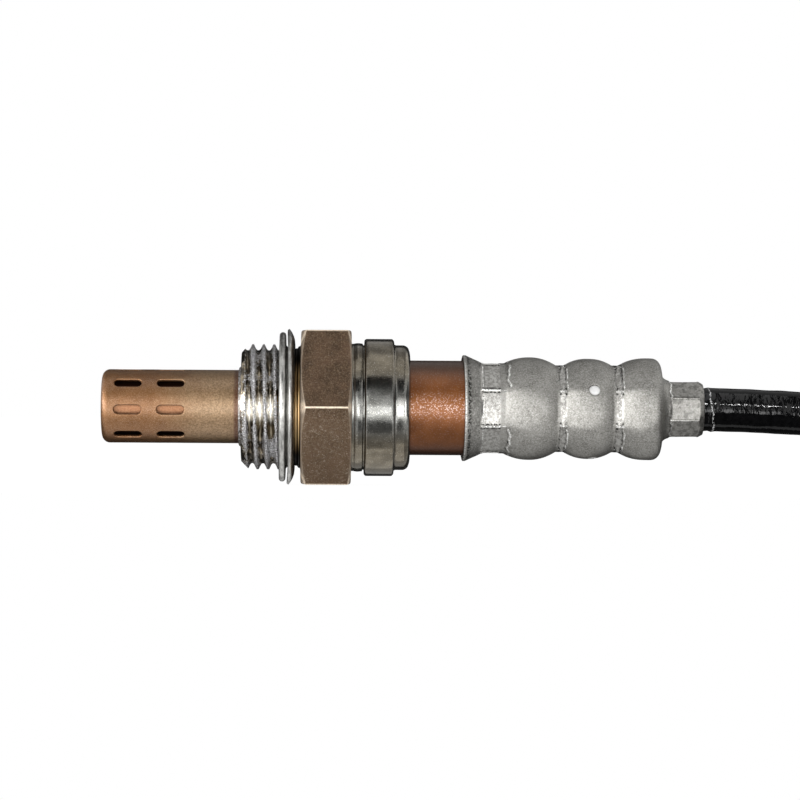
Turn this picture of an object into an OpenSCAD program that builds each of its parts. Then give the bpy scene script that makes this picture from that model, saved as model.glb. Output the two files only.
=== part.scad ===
// Heated oxygen sensor with a slotted protection tube, lying on its side with its lead put away.
// X runs along the sensor from the sensing tip to the lead, Z is up, and sizes are millimetres.
// The origin is on the axis, where the gasket seals against the exhaust boss.
// Angles around the axis start at -Y, the side that faces the viewer, and grow downwards.

/* [Thread, gasket and hexagon] */
// Outside diameter of the M18 x 1.5 thread
thread_d = 17.8; // [16.4:0.1:21.4]
// Length of the thread in front of the gasket
thread_len = 5.5; // [4.6:0.1:8]
// Length of the lead-in chamfer of the thread
thread_chamfer = 1.1; // [0.6:0.1:1.5]
// Depth of the undercut that holds the gasket captive
undercut_depth = 0.8; // [0.6:0.05:1.1]
// Distance from the sealing face to the hexagon
neck_len = 3.1; // [2.9:0.1:4.5]
// Wrench size across the flats
hex_af = 22; // [19:0.5:27]
// Height of the hexagon along the axis
hex_len = 7.2; // [6:0.1:9]
// Radial width of the folded gasket
gasket_w = 2.925; // [2.4:0.025:3.6]
// Sheet thickness of the folded gasket
gasket_t = 0.35; // [0.25:0.05:0.4]

/* [Protection tubes] */
// Outside diameter of the outer protection tube
tube_d = 10.5; // [8.8:0.1:12.6]
// Length of the outer protection tube in front of the thread
tube_len = 19.75; // [18:0.25:25]
// Wall of the outer protection tube
tube_wall = 0.4; // [0.3:0.05:0.6]
// Length of one gas slot
slot_len = 3.9; // [3:0.1:5]
// Width of one gas slot
slot_w = 1.3; // [1:0.1:1.6]
// Number of slots in a row
slot_count = 8; // [6:1:9]
// Distance from the tip to the middle of the first row of slots
slot_setback = 3.85; // [3.4:0.05:5]
// Distance between the two rows of slots
slot_row_pitch = 6.05; // [5.2:0.05:7]
// Room between the two protection tubes
tube_gap = 0.55; // [0.4:0.05:0.7]
// Wall of the inner protection tube
inner_tube_wall = 0.35; // [0.25:0.05:0.5]

/* [Rear of the threaded shell] */
// Length of the thin skirt that buckles when the shell is closed
skirt_len = 1.85; // [1.5:0.05:2.3]
// Wall of the skirt
skirt_wall = 1.78; // [1.4:0.02:2.2]
// Length of the raised band
band_len = 4.15; // [3.4:0.05:5]
// Wall of the shell under the raised band
band_wall = 2.45; // [2:0.05:3]
// Length of the rolled shoulder
shoulder_len = 2.36; // [2:0.02:2.9]

/* [Rear tube and outer cover] */
// Outside diameter of the rear tube
rear_tube_d = 13.56; // [11.3:0.02:16.3]
// Wall of the rear tube
rear_tube_wall = 0.45; // [0.35:0.05:0.55]
// Length of rear tube that shows between the shell and the cover
rear_tube_shown = 7.44; // [6.2:0.01:9]
// Wall of the outer cover
cover_wall = 0.4; // [0.3:0.05:0.45]
// Length of the flared mouth of the cover
flare_len = 2.74; // [2.3:0.02:3.3]
// How far the flared mouth stands out from the rear tube
flare_stand = 0.82; // [0.7:0.02:1]
// How far the wide crimp draws the cover in below the rear tube
crimp_draw = 0.27; // [0.2:0.01:0.35]
// Length of the wide crimp
crimp_len = 3.36; // [2.8:0.02:4]
// Length of the front bulge of the cover
bulge_1_len = 8; // [7:0.1:9.6]
// Length of the middle bulge of the cover
bulge_2_len = 7.95; // [6.8:0.05:9.5]
// Length of the rear bulge of the cover
bulge_3_len = 6.65; // [6.1:0.05:8]
// How far the front bulge stands out from the rear tube
bulge_1_stand = 0.57; // [0.45:0.01:0.7]
// How far the middle bulge stands out from the rear tube
bulge_2_stand = 0.42; // [0.35:0.01:0.5]
// How far the rear bulge stands out from the rear tube
bulge_3_stand = 0.53; // [0.45:0.01:0.65]
// How far the narrow crimps draw the cover in below the rear tube
neck_draw = 0.56; // [0.45:0.01:0.6]
// Length of the crimped tube around the lead
lead_crimp_len = 5.9; // [5:0.1:7]
// Diameter of a vent hole in the middle bulge
vent_d = 1.65; // [1.2:0.05:2]
// Wall of the porous vent filter
filter_wall = 0.55; // [0.45:0.05:0.65]

/* [Sensing element and heater] */
// Diameter of the closed end of the sensing element
element_tip_d = 5.2; // [4.8:0.1:5.6]
// Diameter of the sensing element where it meets its collar
element_root_d = 6.2; // [5.8:0.1:7]
// Diameter of the rear end of the sensing element
element_tail_d = 8; // [7.4:0.1:8.6]
// Length of the collar that carries the sensing element
collar_len = 4.9; // [4:0.1:5.8]
// Diameter of the ceramic heater rod
heater_d = 3; // [2.6:0.1:3.2]
// Diameter of one insulated wire
wire_d = 1.7; // [1.4:0.1:2]

/* [Lead and connector] */
// Diameter of the sleeved lead
lead_d = 6.2; // [5.2:0.1:7.4]
// Width of the connector
connector_w = 18; // [15:0.5:22]
// Height of the connector
connector_h = 13; // [12:0.5:15]
// Length of the connector
connector_len = 26; // [24:0.5:30]

/* [Hidden] */

round_fn = 96;
small_fn = 32;
slide_gap = 0.05; // between parts that are pushed into each other
crimp_gap = 0.02; // between a crimped barrel and its wire
cut = 1; // how far a cutter runs past the face that it opens

// Angles of the four wires around the axis
signal_angle = 0;
heater_a_angle = 90;
ground_angle = 180;
heater_b_angle = 270;

// Threaded shell, along the axis
shell_front_x = -thread_len;
lip_proud = 0.4;
front_wall = 1.3;
ledge_x = shell_front_x + front_wall;
hex_x = neck_len;
hex_end_x = hex_x + hex_len;
skirt_end_x = hex_end_x + skirt_len;
band_end_x = skirt_end_x + band_len;
shell_end_x = band_end_x + shoulder_len;
closing_lip_len = 2.3;
closing_lip_x = shell_end_x - closing_lip_len;

// Threaded shell, radii
tube_r = tube_d / 2;
thread_r = thread_d / 2;
thread_front_r = thread_r - thread_chamfer;
undercut_r = thread_r - undercut_depth;
undercut_len = 2;
flange_share = 25 / 57; // of the room between the protection tube and the undercut
flange_w = flange_share * (undercut_r - tube_r);
front_bore_r = tube_r + flange_w + 2 * slide_gap;
rear_tube_r = rear_tube_d / 2;
rear_flange_w = 0.5;
rear_bore_r = rear_tube_r + rear_flange_w + slide_gap;
skirt_r = rear_bore_r + skirt_wall;
skirt_crown = 0.1;
band_r = rear_bore_r + band_wall;
band_chamfer = 0.2;
groove_w = 0.25;
groove_depth = 0.25;
shoulder_wall = 2.1;
shoulder_end_wall = 1.05;
shoulder_r = rear_tube_r + shoulder_wall;
shoulder_end_r = rear_tube_r + shoulder_end_wall;
hex_face_drop = 0.3; // how far the chamfers cut in below the flats
hex_face_r = hex_af / 2 - hex_face_drop;
hex_corner_r = hex_af / 2 / cos(30);
hex_chamfer_front = 0.75;
hex_chamfer_rear = 0.5;

// Folded gasket
gasket_play = 0.125;
gasket_fold_setback = 0.45;
gasket_inner_r = undercut_r + gasket_play;
gasket_rim_r = gasket_inner_r + gasket_w;
gasket_fold_r = gasket_rim_r - gasket_fold_setback;
front_fold_w = 0.95;
rear_fold_x = 2.25;

// Protection tubes
tip_x = shell_front_x - tube_len;
tip_corner = 1.1;
inner_tube_r = tube_r - tube_wall - tube_gap;
tip_gap = 0.5;
inner_tip_x = tip_x + tube_wall + tip_gap;
flange_r = front_bore_r - slide_gap;
slot_turn = 5.5; // turn of the slots away from the viewer

// Stack that is clamped between the ledge and the closing lip
inner_flange_x = ledge_x + tube_wall;
washer_x = inner_flange_x + inner_tube_wall;
washer_t = 0.5;
collar_x = washer_x + washer_t;
collar_end_x = collar_x + collar_len;
narrow_talc_len = 0.65; // talc in the narrow bore, behind the collar
wide_bore_wall = 1.2; // at least, between the wide bore and the neck in front of the hexagon
neck_slope = (thread_r - undercut_r) / (hex_x - undercut_len);
wide_bore_x = undercut_len + (rear_bore_r + wide_bore_wall - undercut_r) / neck_slope;
front_bore_end_x = max(collar_end_x + narrow_talc_len, wide_bore_x);
rear_flange_x = closing_lip_x - rear_tube_wall;
crimp_ring_t = 1;
crimp_ring_x = rear_flange_x - crimp_ring_t;
bushing_len = 6.4;
bushing_x = crimp_ring_x - bushing_len;

// Sensing element and heater
element_setback = 3.4; // from the closed end of the outer tube
element_tail_len = 3.15; // behind the closing lip
heater_play = 0.1;
element_tip_x = tip_x + element_setback;
element_tail_x = closing_lip_x + element_tail_len;
element_bore_r = heater_d / 2 + heater_play;
element_floor = 1.5;
contact_depth = 4;
contact_room = 0.75;
contact_bore_r = element_bore_r + contact_room;

// Outer cover, along the axis
cover_x = shell_end_x + rear_tube_shown;
crimp_x = cover_x + flare_len;
crimp_end_x = crimp_x + crimp_len;
neck_1_x = crimp_end_x + bulge_1_len;
neck_2_x = neck_1_x + bulge_2_len;
cover_end_x = neck_2_x + bulge_3_len;
lead_exit_x = cover_end_x + lead_crimp_len;
narrow_crimp_w = 1.1;

// Outer cover, radii
flare_r = rear_tube_r + flare_stand;
crimp_r = rear_tube_r - crimp_draw;
neck_r = rear_tube_r - neck_draw;
bulge_1_r = rear_tube_r + bulge_1_stand;
bulge_2_r = rear_tube_r + bulge_2_stand;
bulge_3_r = rear_tube_r + bulge_3_stand;
bulge_3_flat = 1.1;
cover_corner = 1.3;
lead_slack = 0.44;
lead_crimp_r = lead_d / 2 + lead_slack + cover_wall;
lead_fillet = 1;
tangent_guard = 0.06; // keeps round stretches from just touching the crimp flats
vent_angles = [-22, 78, 208];
vent_setback = 4.5;
vent_x = neck_1_x + vent_setback;

// Rear tube, which steps down twice under the cover
step_r = crimp_r - cover_wall - slide_gap;
flare_slope = (flare_r - crimp_r) / flare_len;
step_x = crimp_x - (rear_tube_r - step_r) / flare_slope;
filter_r = neck_r - cover_wall - slide_gap;
filter_reach = 1.75; // how far the filter runs past each narrow crimp
filter_x = neck_1_x - filter_reach;
filter_end_x = neck_2_x + filter_reach;
seat_r = filter_r - filter_wall - slide_gap;
seat_step_len = 1.4;
seat_lead = 0.2;
seat_x = filter_x - seat_lead;
seat_bore_r = seat_r - rear_tube_wall;

// Grommet
grommet_gap = 0.3;
grommet_end_gap = 0.8;
grommet_side_gap = 0.4;
grommet_nose_len = 2.2; // inside the crimped tube
grommet_x = filter_end_x + grommet_gap;
grommet_end_x = cover_end_x - grommet_end_gap;
grommet_r = bulge_3_r - cover_wall - grommet_side_gap;
grommet_nose_r = lead_d / 2 + lead_slack - slide_gap;
grommet_nose_x = cover_end_x + grommet_nose_len;

// Separator and the terminals in it
separator_reach = 5; // in front of the step of the rear tube
separator_play = 0.2;
separator_x = step_x - separator_reach;
separator_len = 12;
separator_r = step_r - rear_tube_wall - separator_play;
recess_len = 5;
recess_wall = 1;
recess_r = separator_r - recess_wall;
clip_len = 4.2;
clip_sheet = 0.3;
clip_bead_r = rear_tube_r - rear_tube_wall - slide_gap;
terminal_pitch_r = 3;
terminal_w = 1.6;
terminal_t = 0.3;
terminal_play = 0.35;
terminal_hole_r = wire_d / 2 + terminal_play;
strand_r = 0.5;
barrel_r = wire_d / 2;
barrel_depth = 6.2; // from the front of the separator
barrel_x = separator_x + barrel_depth;
barrel_len = 2.6;
strand_x = barrel_x + terminal_t + crimp_gap;
bare_strand_len = 0.6;
insulation_x = barrel_x + barrel_len + bare_strand_len;
heater_depth = 3.4; // of the heater rod in the separator
heater_end_x = separator_x + heater_depth;
pad_len = 2;

// Wires inside the sensor
wire_r = wire_d / 2;
wire_end_x = grommet_nose_x + 2 * slide_gap;
bundle_spread = 1.9; // how far the four wires stay apart, in wire radii
bundle_r = wire_r * bundle_spread;
wire_room = 0.3;
tube_pitch_r = min(terminal_pitch_r, seat_bore_r - wire_r - wire_room);

// Route of the lead, from inside the crimped tube down to the surface that the sensor lies on
lead_route = [
    [57.1, 0, 0], [62, 0, 0], [70, 0, 0], [78, 0, -0.4], [86, 0, -1.5], [94, 0, -3.1],
    [102, 0, -4.7], [110, 0, -6.2], [118, 0, -7.3], [126, 0, -7.7], [134, 0, -7.7],
];
lead_rest_z = -7.7;
lead_sides = 12;
tape_t = 0.35;
bench_z = lead_rest_z - lead_d / 2 - tape_t;

// Hank: two runs side by side that open into one loop at the far end
hank_x = 134;
run_pitch = 6.6;
loop_r = 19;
loop_neck_x = 176;
loop_turn = acos((run_pitch / 2 + loop_r) / (2 * loop_r));
loop_x = loop_neck_x + 2 * loop_r * sin(loop_turn);
tie_x = 142;
tie_w = 10;
end_x = 122;
band_w = 9;

// Connector, beside the lead
connector_x = 82;
connector_y = 13;
connector_z = bench_z + connector_h / 2;
connector_end_x = connector_x + connector_len;
barrel_block_len = 12;
nose_end_x = connector_end_x - barrel_block_len;
nose_w = connector_w - 5;
nose_h = connector_h - 3.4;
cavity_pitch = 4.6;
cavity_w = 2;
seal_depth = 6;
seal_r = 1.95;
pin_w = cavity_w - 0.2;
pin_setback = 2;
pin_x = connector_x + pin_setback;
pin_len = 11;
tail_strand_len = 3;
tail_strand_x = connector_end_x - seal_depth - 0.5;
tail_sides = 8;
latch_w = 7;
latch_t = 1.2;
latch_gap = 0.9;
lock_t = 1.1;
lock_leg = 6;

function smooth(s) = s * s * (3 - 2 * s);
function unit(v) = v / norm(v);
function tangent(path, i) =
    unit(path[min(i + 1, len(path) - 1)] - path[max(i - 1, 0)]);

// Radius of the arc that rises by rise over half its chord
function arc_r(half_chord, rise) = (half_chord * half_chord + rise * rise) / (2 * rise);

// Points of the rings that a round tube has along a path that runs roughly along X
function tube_points(path, r, sides) = [
    for (i = [0:len(path) - 1])
        let (t = tangent(path, i), u = unit(cross([0, 1, 0], t)), v = cross(t, u))
            for (k = [0:sides - 1])
                let (a = 360 * k / sides)
                    path[i] + r * (cos(a) * u + sin(a) * v)
];

function tube_faces(rings, sides) = concat(
    [[for (k = [0:sides - 1]) k]],
    [
        for (i = [0:rings - 2], k = [0:sides - 1])
            let (a = i * sides + k, b = i * sides + (k + 1) % sides)
                [a, a + sides, b + sides, b]
    ],
    [[for (k = [sides - 1:-1:0]) (rings - 1) * sides + k]]
);

module tube_along(path, r, sides) {
    polyhedron(tube_points(path, r, sides), tube_faces(len(path), sides), convexity = 6);
}

// Turns an outline of radius and axial position around the X axis
module turned() {
    rotate([0, 90, 0])
        rotate_extrude($fn = round_fn)
            children();
}

module ring(x0, x1, outer_r, inner_r = 0) {
    turned()
        translate([inner_r, x0])
            square([outer_r - inner_r, x1 - x0]);
}

// Area under an arc that rises from edge_r to top_r halfway between x0 and x1
module arc_area(x0, x1, edge_r, top_r, inset = 0) {
    half = (x1 - x0) / 2;
    r = arc_r(half, top_r - edge_r);
    intersection() {
        translate([top_r - r, x0 + half])
            circle(r - inset, $fn = 2 * round_fn);
        translate([0, x0])
            square([top_r, x1 - x0]);
    }
}

// Prism with eight flats, one of them facing the viewer
module eight_flats(x0, x1, flat_r) {
    translate([x0, 0, 0])
        rotate([0, 90, 0])
            rotate([0, 0, 22.5])
                cylinder(h = x1 - x0, r = flat_r / cos(22.5), $fn = 8);
}

module around(count, first) {
    for (i = [0:count - 1])
        rotate([first + 360 * i / count, 0, 0])
            children();
}

// Slot cutter that points at the viewer, with round ends along the axis
module slot_cutter(x, reach) {
    flat = slot_len - slot_w;
    translate([x - flat / 2, -reach, -slot_w / 2])
        cube([flat, reach, slot_w]);
    for (end = [-1, 1])
        translate([x + end * flat / 2, 0, 0])
            rotate([90, 0, 0])
                cylinder(h = reach, r = slot_w / 2, $fn = small_fn);
}

// Rounded rectangle across Y and Z, drawn along X
module rounded_block(x0, x1, w, h, corner) {
    translate([x0, 0, 0])
        rotate([90, 0, 90])
            linear_extrude(x1 - x0)
                union() {
                    square([w - 2 * corner, h], center = true);
                    square([w, h - 2 * corner], center = true);
                    for (y = [-1, 1], z = [-1, 1])
                        translate([y * (w / 2 - corner), z * (h / 2 - corner)])
                            circle(corner, $fn = small_fn);
                }
}

module outer_protection_tube() {
    color([0.62, 0.42, 0.28])
        difference() {
            turned()
                difference() {
                    union() {
                        translate([0, tip_x + tip_corner])
                            square([tube_r, ledge_x + tube_wall - tip_x - tip_corner]);
                        translate([0, tip_x])
                            square([tube_r - tip_corner, tip_corner + cut]);
                        intersection() {
                            translate([tube_r - tip_corner, tip_x + tip_corner])
                                circle(tip_corner, $fn = small_fn);
                            translate([0, tip_x])
                                square([tube_r, tip_corner]);
                        }
                        translate([0, ledge_x])
                            square([flange_r, tube_wall]);
                    }
                    translate([0, tip_x + tube_wall])
                        square([tube_r - tube_wall, ledge_x - tip_x + cut]);
                }
            for (row = [0, 1])
                around(slot_count, slot_turn)
                    slot_cutter(tip_x + slot_setback + row * slot_row_pitch, tube_r + cut);
        }
}

module inner_protection_tube() {
    hole_count = 6;
    hole_r = 0.6;
    hole_back = 7;
    end_hole_r = 1;
    color([0.66, 0.46, 0.32])
        difference() {
            union() {
                ring(inner_tip_x, washer_x, inner_tube_r);
                ring(inner_flange_x, washer_x, flange_r);
            }
            ring(inner_tip_x + inner_tube_wall, washer_x + cut, inner_tube_r - inner_tube_wall);
            ring(inner_tip_x - cut, inner_tip_x + cut, end_hole_r);
            around(hole_count, 0)
                translate([ledge_x - hole_back, 0, 0])
                    rotate([90, 0, 0])
                        cylinder(h = tube_r, r = hole_r, $fn = small_fn);
        }
}

module sensing_element() {
    color([0.93, 0.9, 0.84])
        difference() {
            union() {
                turned()
                    polygon([
                        [0, element_tip_x + element_tip_d / 2],
                        [element_tip_d / 2, element_tip_x + element_tip_d / 2],
                        [element_root_d / 2, collar_x],
                        [0, collar_x],
                    ]);
                turned()
                    intersection() {
                        translate([0, element_tip_x + element_tip_d / 2])
                            circle(element_tip_d / 2, $fn = round_fn);
                        translate([0, element_tip_x])
                            square([element_tip_d, element_tip_d / 2]);
                    }
                ring(collar_x, collar_end_x, flange_r);
                ring(collar_end_x, element_tail_x, element_tail_d / 2);
            }
            ring(element_tip_x + element_floor, element_tail_x + cut, element_bore_r);
            ring(element_tail_x - contact_depth, element_tail_x + cut, contact_bore_r);
        }
}

module heater_rod() {
    chamfer = 0.3;
    front_x = element_tip_x + element_floor + 2 * heater_play;
    color([0.95, 0.95, 0.92])
        turned()
            polygon([
                [0, front_x],
                [heater_d / 2 - chamfer, front_x],
                [heater_d / 2, front_x + chamfer],
                [heater_d / 2, heater_end_x],
                [0, heater_end_x],
            ]);
}

// Threaded front end, closed inwards around the protection tube
module shell_front() {
    lip_w = 0.5;
    turned()
        polygon([
            [0, shell_front_x - lip_proud],
            [tube_r + lip_w / 2, shell_front_x - lip_proud],
            [tube_r + lip_w, shell_front_x],
            [thread_front_r, shell_front_x],
            [thread_r, shell_front_x + thread_chamfer],
            [thread_r, 0],
            [undercut_r, 0],
            [undercut_r, undercut_len],
            [thread_r, hex_x],
            [thread_r, hex_x + cut],
            [0, hex_x + cut],
        ]);
}

// Hexagon with chamfered ends, a corner facing the viewer and a flat below
module shell_hexagon() {
    reach_r = hex_corner_r + cut;
    front_rise = hex_chamfer_front * (reach_r - hex_face_r) / (hex_corner_r - hex_face_r);
    rear_rise = hex_chamfer_rear * (reach_r - hex_face_r) / (hex_corner_r - hex_face_r);
    intersection() {
        translate([hex_x, 0, 0])
            rotate([0, 90, 0])
                rotate([0, 0, 30])
                    cylinder(h = hex_len, r = hex_corner_r, $fn = 6);
        turned()
            polygon([
                [0, hex_x],
                [hex_face_r, hex_x],
                [reach_r, hex_x + front_rise],
                [reach_r, hex_end_x - rear_rise],
                [hex_face_r, hex_end_x],
                [0, hex_end_x],
            ]);
    }
}

// Skirt, raised band and rolled shoulder
module shell_rear() {
    foot_w = 0.3;
    foot_len = 0.5;
    roll_w = 0.3;
    roll_len = 0.9;
    roll_mid_len = 0.4;
    turned()
        union() {
            translate([0, hex_end_x - cut])
                square([skirt_r, cut]);
            arc_area(hex_end_x, skirt_end_x - groove_w, skirt_r, skirt_r + skirt_crown);
            translate([0, skirt_end_x - groove_w])
                square([skirt_r - groove_depth, groove_w]);
            polygon([
                [0, skirt_end_x],
                [band_r - band_chamfer, skirt_end_x],
                [band_r, skirt_end_x + band_chamfer],
                [band_r, band_end_x - band_chamfer],
                [band_r - band_chamfer, band_end_x],
                [shoulder_r + foot_w, band_end_x],
                [shoulder_r, band_end_x + foot_len],
                [shoulder_r, shell_end_x - roll_len],
                [shoulder_r - roll_w, shell_end_x - roll_mid_len],
                [shoulder_end_r, shell_end_x],
                [0, shell_end_x],
            ]);
        }
}

module housing() {
    color([0.5, 0.45, 0.4])
        difference() {
            union() {
                shell_front();
                shell_hexagon();
                shell_rear();
            }
            ring(shell_front_x - cut, ledge_x + cut, tube_r + slide_gap);
            ring(ledge_x, front_bore_end_x, front_bore_r);
            ring(front_bore_end_x, closing_lip_x, rear_bore_r);
            ring(closing_lip_x - cut, shell_end_x + cut, rear_tube_r + slide_gap);
        }
}

// Outline of a strip of thickness t whose middle line follows the points
function strip_outline(line, t) = concat(
    [for (i = [0:len(line) - 1]) line[i] + t / 2 * side_of(line, i)],
    [for (i = [len(line) - 1:-1:0]) line[i] - t / 2 * side_of(line, i)]
);
function side_of(line, i) =
    let (t = tangent(line, i)) [-t[1], t[0]];
function arc_points(centre, r, from, to, steps = 10) = [
    for (i = [0:steps])
        let (a = from + (to - from) * i / steps)
            centre + r * [cos(a), sin(a)]
];

// One strip folded twice: a rounded fold in front, and a dished leaf with a free rim behind
module crush_gasket() {
    half_t = gasket_t / 2;
    fold_r = front_fold_w / 2;
    front_y = gasket_fold_r - fold_r;
    back_fold_r = (rear_fold_x - front_fold_w + gasket_t) / 2;
    back_y = gasket_inner_r + back_fold_r;
    rim_tilt = 0.11; // what the tilted edge of the rear leaf adds to its radius
    crest_gap = 0.1; // from the crests of the thread to the free end of the strip
    bend_setback = 0.1; // flat leaf in front ends this far before its bend
    dish = 0.8; // how far the rear leaf leans forward at its rim
    leaf = gasket_rim_r - rim_tilt - back_y;
    color([0.7, 0.7, 0.7])
        turned()
            polygon(strip_outline(concat(
                [[thread_r + crest_gap, half_t], [front_y - bend_setback, half_t]],
                arc_points([front_y, fold_r], fold_r - half_t, -90, 90),
                arc_points([back_y, rear_fold_x - back_fold_r], back_fold_r - half_t, 270, 90),
                [
                    for (s = [0.4, 0.75, 1])
                        [back_y + s * leaf, rear_fold_x - half_t - dish * pow(s, 2)]
                ]
            ), gasket_t));
}

module seat_washer() {
    bore_play = 0.2;
    color([0.75, 0.75, 0.72])
        ring(washer_x, collar_x, flange_r, element_root_d / 2 + bore_play);
}

module talc_seal() {
    color([0.85, 0.85, 0.8])
        difference() {
            union() {
                ring(collar_end_x, front_bore_end_x, front_bore_r - slide_gap);
                ring(front_bore_end_x, bushing_x, rear_bore_r - slide_gap);
            }
            ring(collar_end_x - cut, bushing_x + cut, element_tail_d / 2 + slide_gap);
        }
}

module ceramic_bushing() {
    color([0.95, 0.93, 0.88])
        ring(bushing_x, crimp_ring_x, rear_bore_r - slide_gap, element_tail_d / 2 + slide_gap);
}

module crimp_ring() {
    bore_play = 0.6;
    color([0.6, 0.6, 0.58])
        ring(crimp_ring_x, rear_flange_x, rear_bore_r - slide_gap,
            element_tail_d / 2 + bore_play);
}

// Drawn tube: flange under the closing lip, wide part, crimped part, and seat of the vent filter
module rear_sleeve() {
    hole_r = 0.9;
    color([0.45, 0.25, 0.18])
        difference() {
            turned()
                difference() {
                    rear_sleeve_outline(0);
                    rear_sleeve_outline(rear_tube_wall);
                }
            around(3, 30)
                translate([vent_x, 0, 0])
                    rotate([90, 0, 0])
                        cylinder(h = rear_tube_r, r = hole_r, $fn = small_fn);
        }
}

module rear_sleeve_outline(inset) {
    over = inset > 0 ? cut : 0;
    back = inset > 0 ? 0.2 : 0;
    seat_step_x = seat_x - seat_step_len;
    polygon([
        [0, rear_flange_x - over],
        [rear_tube_r - inset, rear_flange_x - over],
        [rear_tube_r - inset, step_x - back],
        [step_r - inset, crimp_x - back],
        [step_r - inset, seat_step_x - back],
        [seat_r - inset, seat_x - back],
        [seat_r - inset, filter_end_x + over],
        [0, filter_end_x + over],
    ]);
    if (inset == 0)
        translate([0, rear_flange_x])
            square([rear_tube_r + rear_flange_w, rear_tube_wall]);
}

// Outline of the cover from the flared mouth to the lead, without its crimp flats
module cover_outline(inset) {
    over = inset > 0 ? cut : 0;
    flare_over = over * flare_slope;
    polygon([
        [0, cover_x - over],
        [flare_r - inset + flare_over, cover_x - over],
        [crimp_r - inset + (inset > 0 ? 0 : tangent_guard), crimp_x],
        [0, crimp_x],
    ]);
    if (inset > 0)
        translate([0, crimp_x - cut])
            square([crimp_r - inset, crimp_len + 2 * cut]);
    arc_area(crimp_end_x, neck_1_x, neck_r, bulge_1_r, inset);
    arc_area(neck_1_x, neck_2_x, neck_r, bulge_2_r, inset);
    rear_half = bulge_3_len - bulge_3_flat - cover_corner;
    arc_area(neck_2_x, neck_2_x + 2 * rear_half, neck_r, bulge_3_r, inset);
}

module outer_cover() {
    fillet_len = 1.4; // from the rear face to the crimped tube
    fillet_mid_len = 0.5;
    mouth_len = 1; // rounded end of the crimped tube
    mouth_mid_len = 0.3;
    mouth_drop = 0.15;
    mouth_land = 0.1;
    overlap = 0.1;
    flat_x = neck_2_x + bulge_3_len - bulge_3_flat - cover_corner;
    corner_x = cover_end_x - cover_corner;
    bore_r = lead_d / 2 + lead_slack;
    color([0.66, 0.66, 0.64])
        difference() {
            union() {
                difference() {
                    turned()
                        cover_outline(0);
                    ring(flat_x, cover_end_x + bulge_3_len, rear_tube_d);
                }
                eight_flats(crimp_x, crimp_end_x, crimp_r);
                for (x = [neck_1_x, neck_2_x])
                    eight_flats(x - narrow_crimp_w / 2, x + narrow_crimp_w / 2,
                        neck_r + tangent_guard);
                turned() {
                    translate([0, flat_x])
                        square([bulge_3_r, corner_x - flat_x]);
                    intersection() {
                        translate([bulge_3_r - cover_corner, corner_x])
                            circle(cover_corner, $fn = small_fn);
                        translate([0, corner_x])
                            square([bulge_3_r, cover_corner]);
                    }
                    translate([0, corner_x])
                        square([bulge_3_r - cover_corner, cover_corner]);
                    polygon([
                        [0, cover_end_x],
                        [lead_crimp_r + lead_fillet, cover_end_x],
                        [lead_crimp_r + 0.35 * lead_fillet, cover_end_x + fillet_mid_len],
                        [lead_crimp_r + tangent_guard, cover_end_x + fillet_len],
                        [0, cover_end_x + fillet_len],
                    ]);
                    polygon([
                        [0, lead_exit_x - mouth_len],
                        [lead_crimp_r + tangent_guard, lead_exit_x - mouth_len],
                        [lead_crimp_r - mouth_drop, lead_exit_x - mouth_mid_len],
                        [bore_r + mouth_land, lead_exit_x],
                        [0, lead_exit_x],
                    ]);
                }
                eight_flats(cover_end_x + fillet_len - 4 * overlap,
                    lead_exit_x - mouth_len + overlap, lead_crimp_r);
            }
            difference() {
                turned()
                    cover_outline(cover_wall);
                ring(flat_x, cover_end_x + bulge_3_len, rear_tube_d);
            }
            ring(crimp_end_x - cut, flat_x, neck_r - cover_wall);
            ring(flat_x - 0.2, corner_x, bulge_3_r - cover_wall);
            ring(corner_x - cut, cover_end_x - cover_wall, bulge_3_r - cover_corner);
            ring(corner_x - cut, lead_exit_x + cut, bore_r);
            for (a = vent_angles)
                rotate([a, 0, 0])
                    translate([vent_x, -filter_r - overlap, 0])
                        rotate([90, 0, 0])
                            cylinder(h = flare_r, r = vent_d / 2, $fn = small_fn);
        }
}

module vent_filter() {
    color("white")
        ring(filter_x, filter_end_x, filter_r, seat_r + slide_gap);
}

module grommet() {
    color([0.12, 0.12, 0.12])
        difference() {
            turned()
                polygon([
                    [0, grommet_x],
                    [grommet_r, grommet_x],
                    [grommet_r, grommet_end_x - cover_corner],
                    [grommet_r - cover_corner, grommet_end_x],
                    [grommet_nose_r, grommet_end_x],
                    [grommet_nose_r, grommet_nose_x],
                    [0, grommet_nose_x],
                ]);
            around(4, 0)
                translate([grommet_x - cut, -bundle_r, 0])
                    rotate([0, 90, 0])
                        cylinder(h = grommet_nose_x - grommet_x + 2 * cut,
                            r = wire_r + crimp_gap, $fn = small_fn);
        }
}

module terminal_separator() {
    color([0.9, 0.88, 0.8])
        difference() {
            ring(separator_x, separator_x + separator_len, separator_r);
            ring(separator_x - cut, separator_x + recess_len, recess_r);
            around(4, 0)
                translate([separator_x + recess_len - cut, -terminal_pitch_r, 0])
                    rotate([0, 90, 0])
                        cylinder(h = separator_len, r = terminal_hole_r, $fn = small_fn);
        }
}

// Sheet metal sleeve with two beads that press against the rear tube
module separator_clip() {
    bead_w = 0.6;
    x0 = separator_x + 0.5;
    x1 = x0 + clip_len;
    r0 = separator_r + slide_gap;
    color([0.72, 0.72, 0.7]) {
        ring(x0, x1, r0 + clip_sheet, r0);
        for (x = [x0 + bead_w, x1 - 2 * bead_w])
            ring(x, x + bead_w, clip_bead_r, r0);
    }
}

// Strip that faces the viewer, between two radii
module strip(x0, x1, inner_r, outer_r) {
    translate([x0, -outer_r, -terminal_w / 2])
        cube([x1 - x0, outer_r - inner_r, terminal_w]);
}

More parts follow.
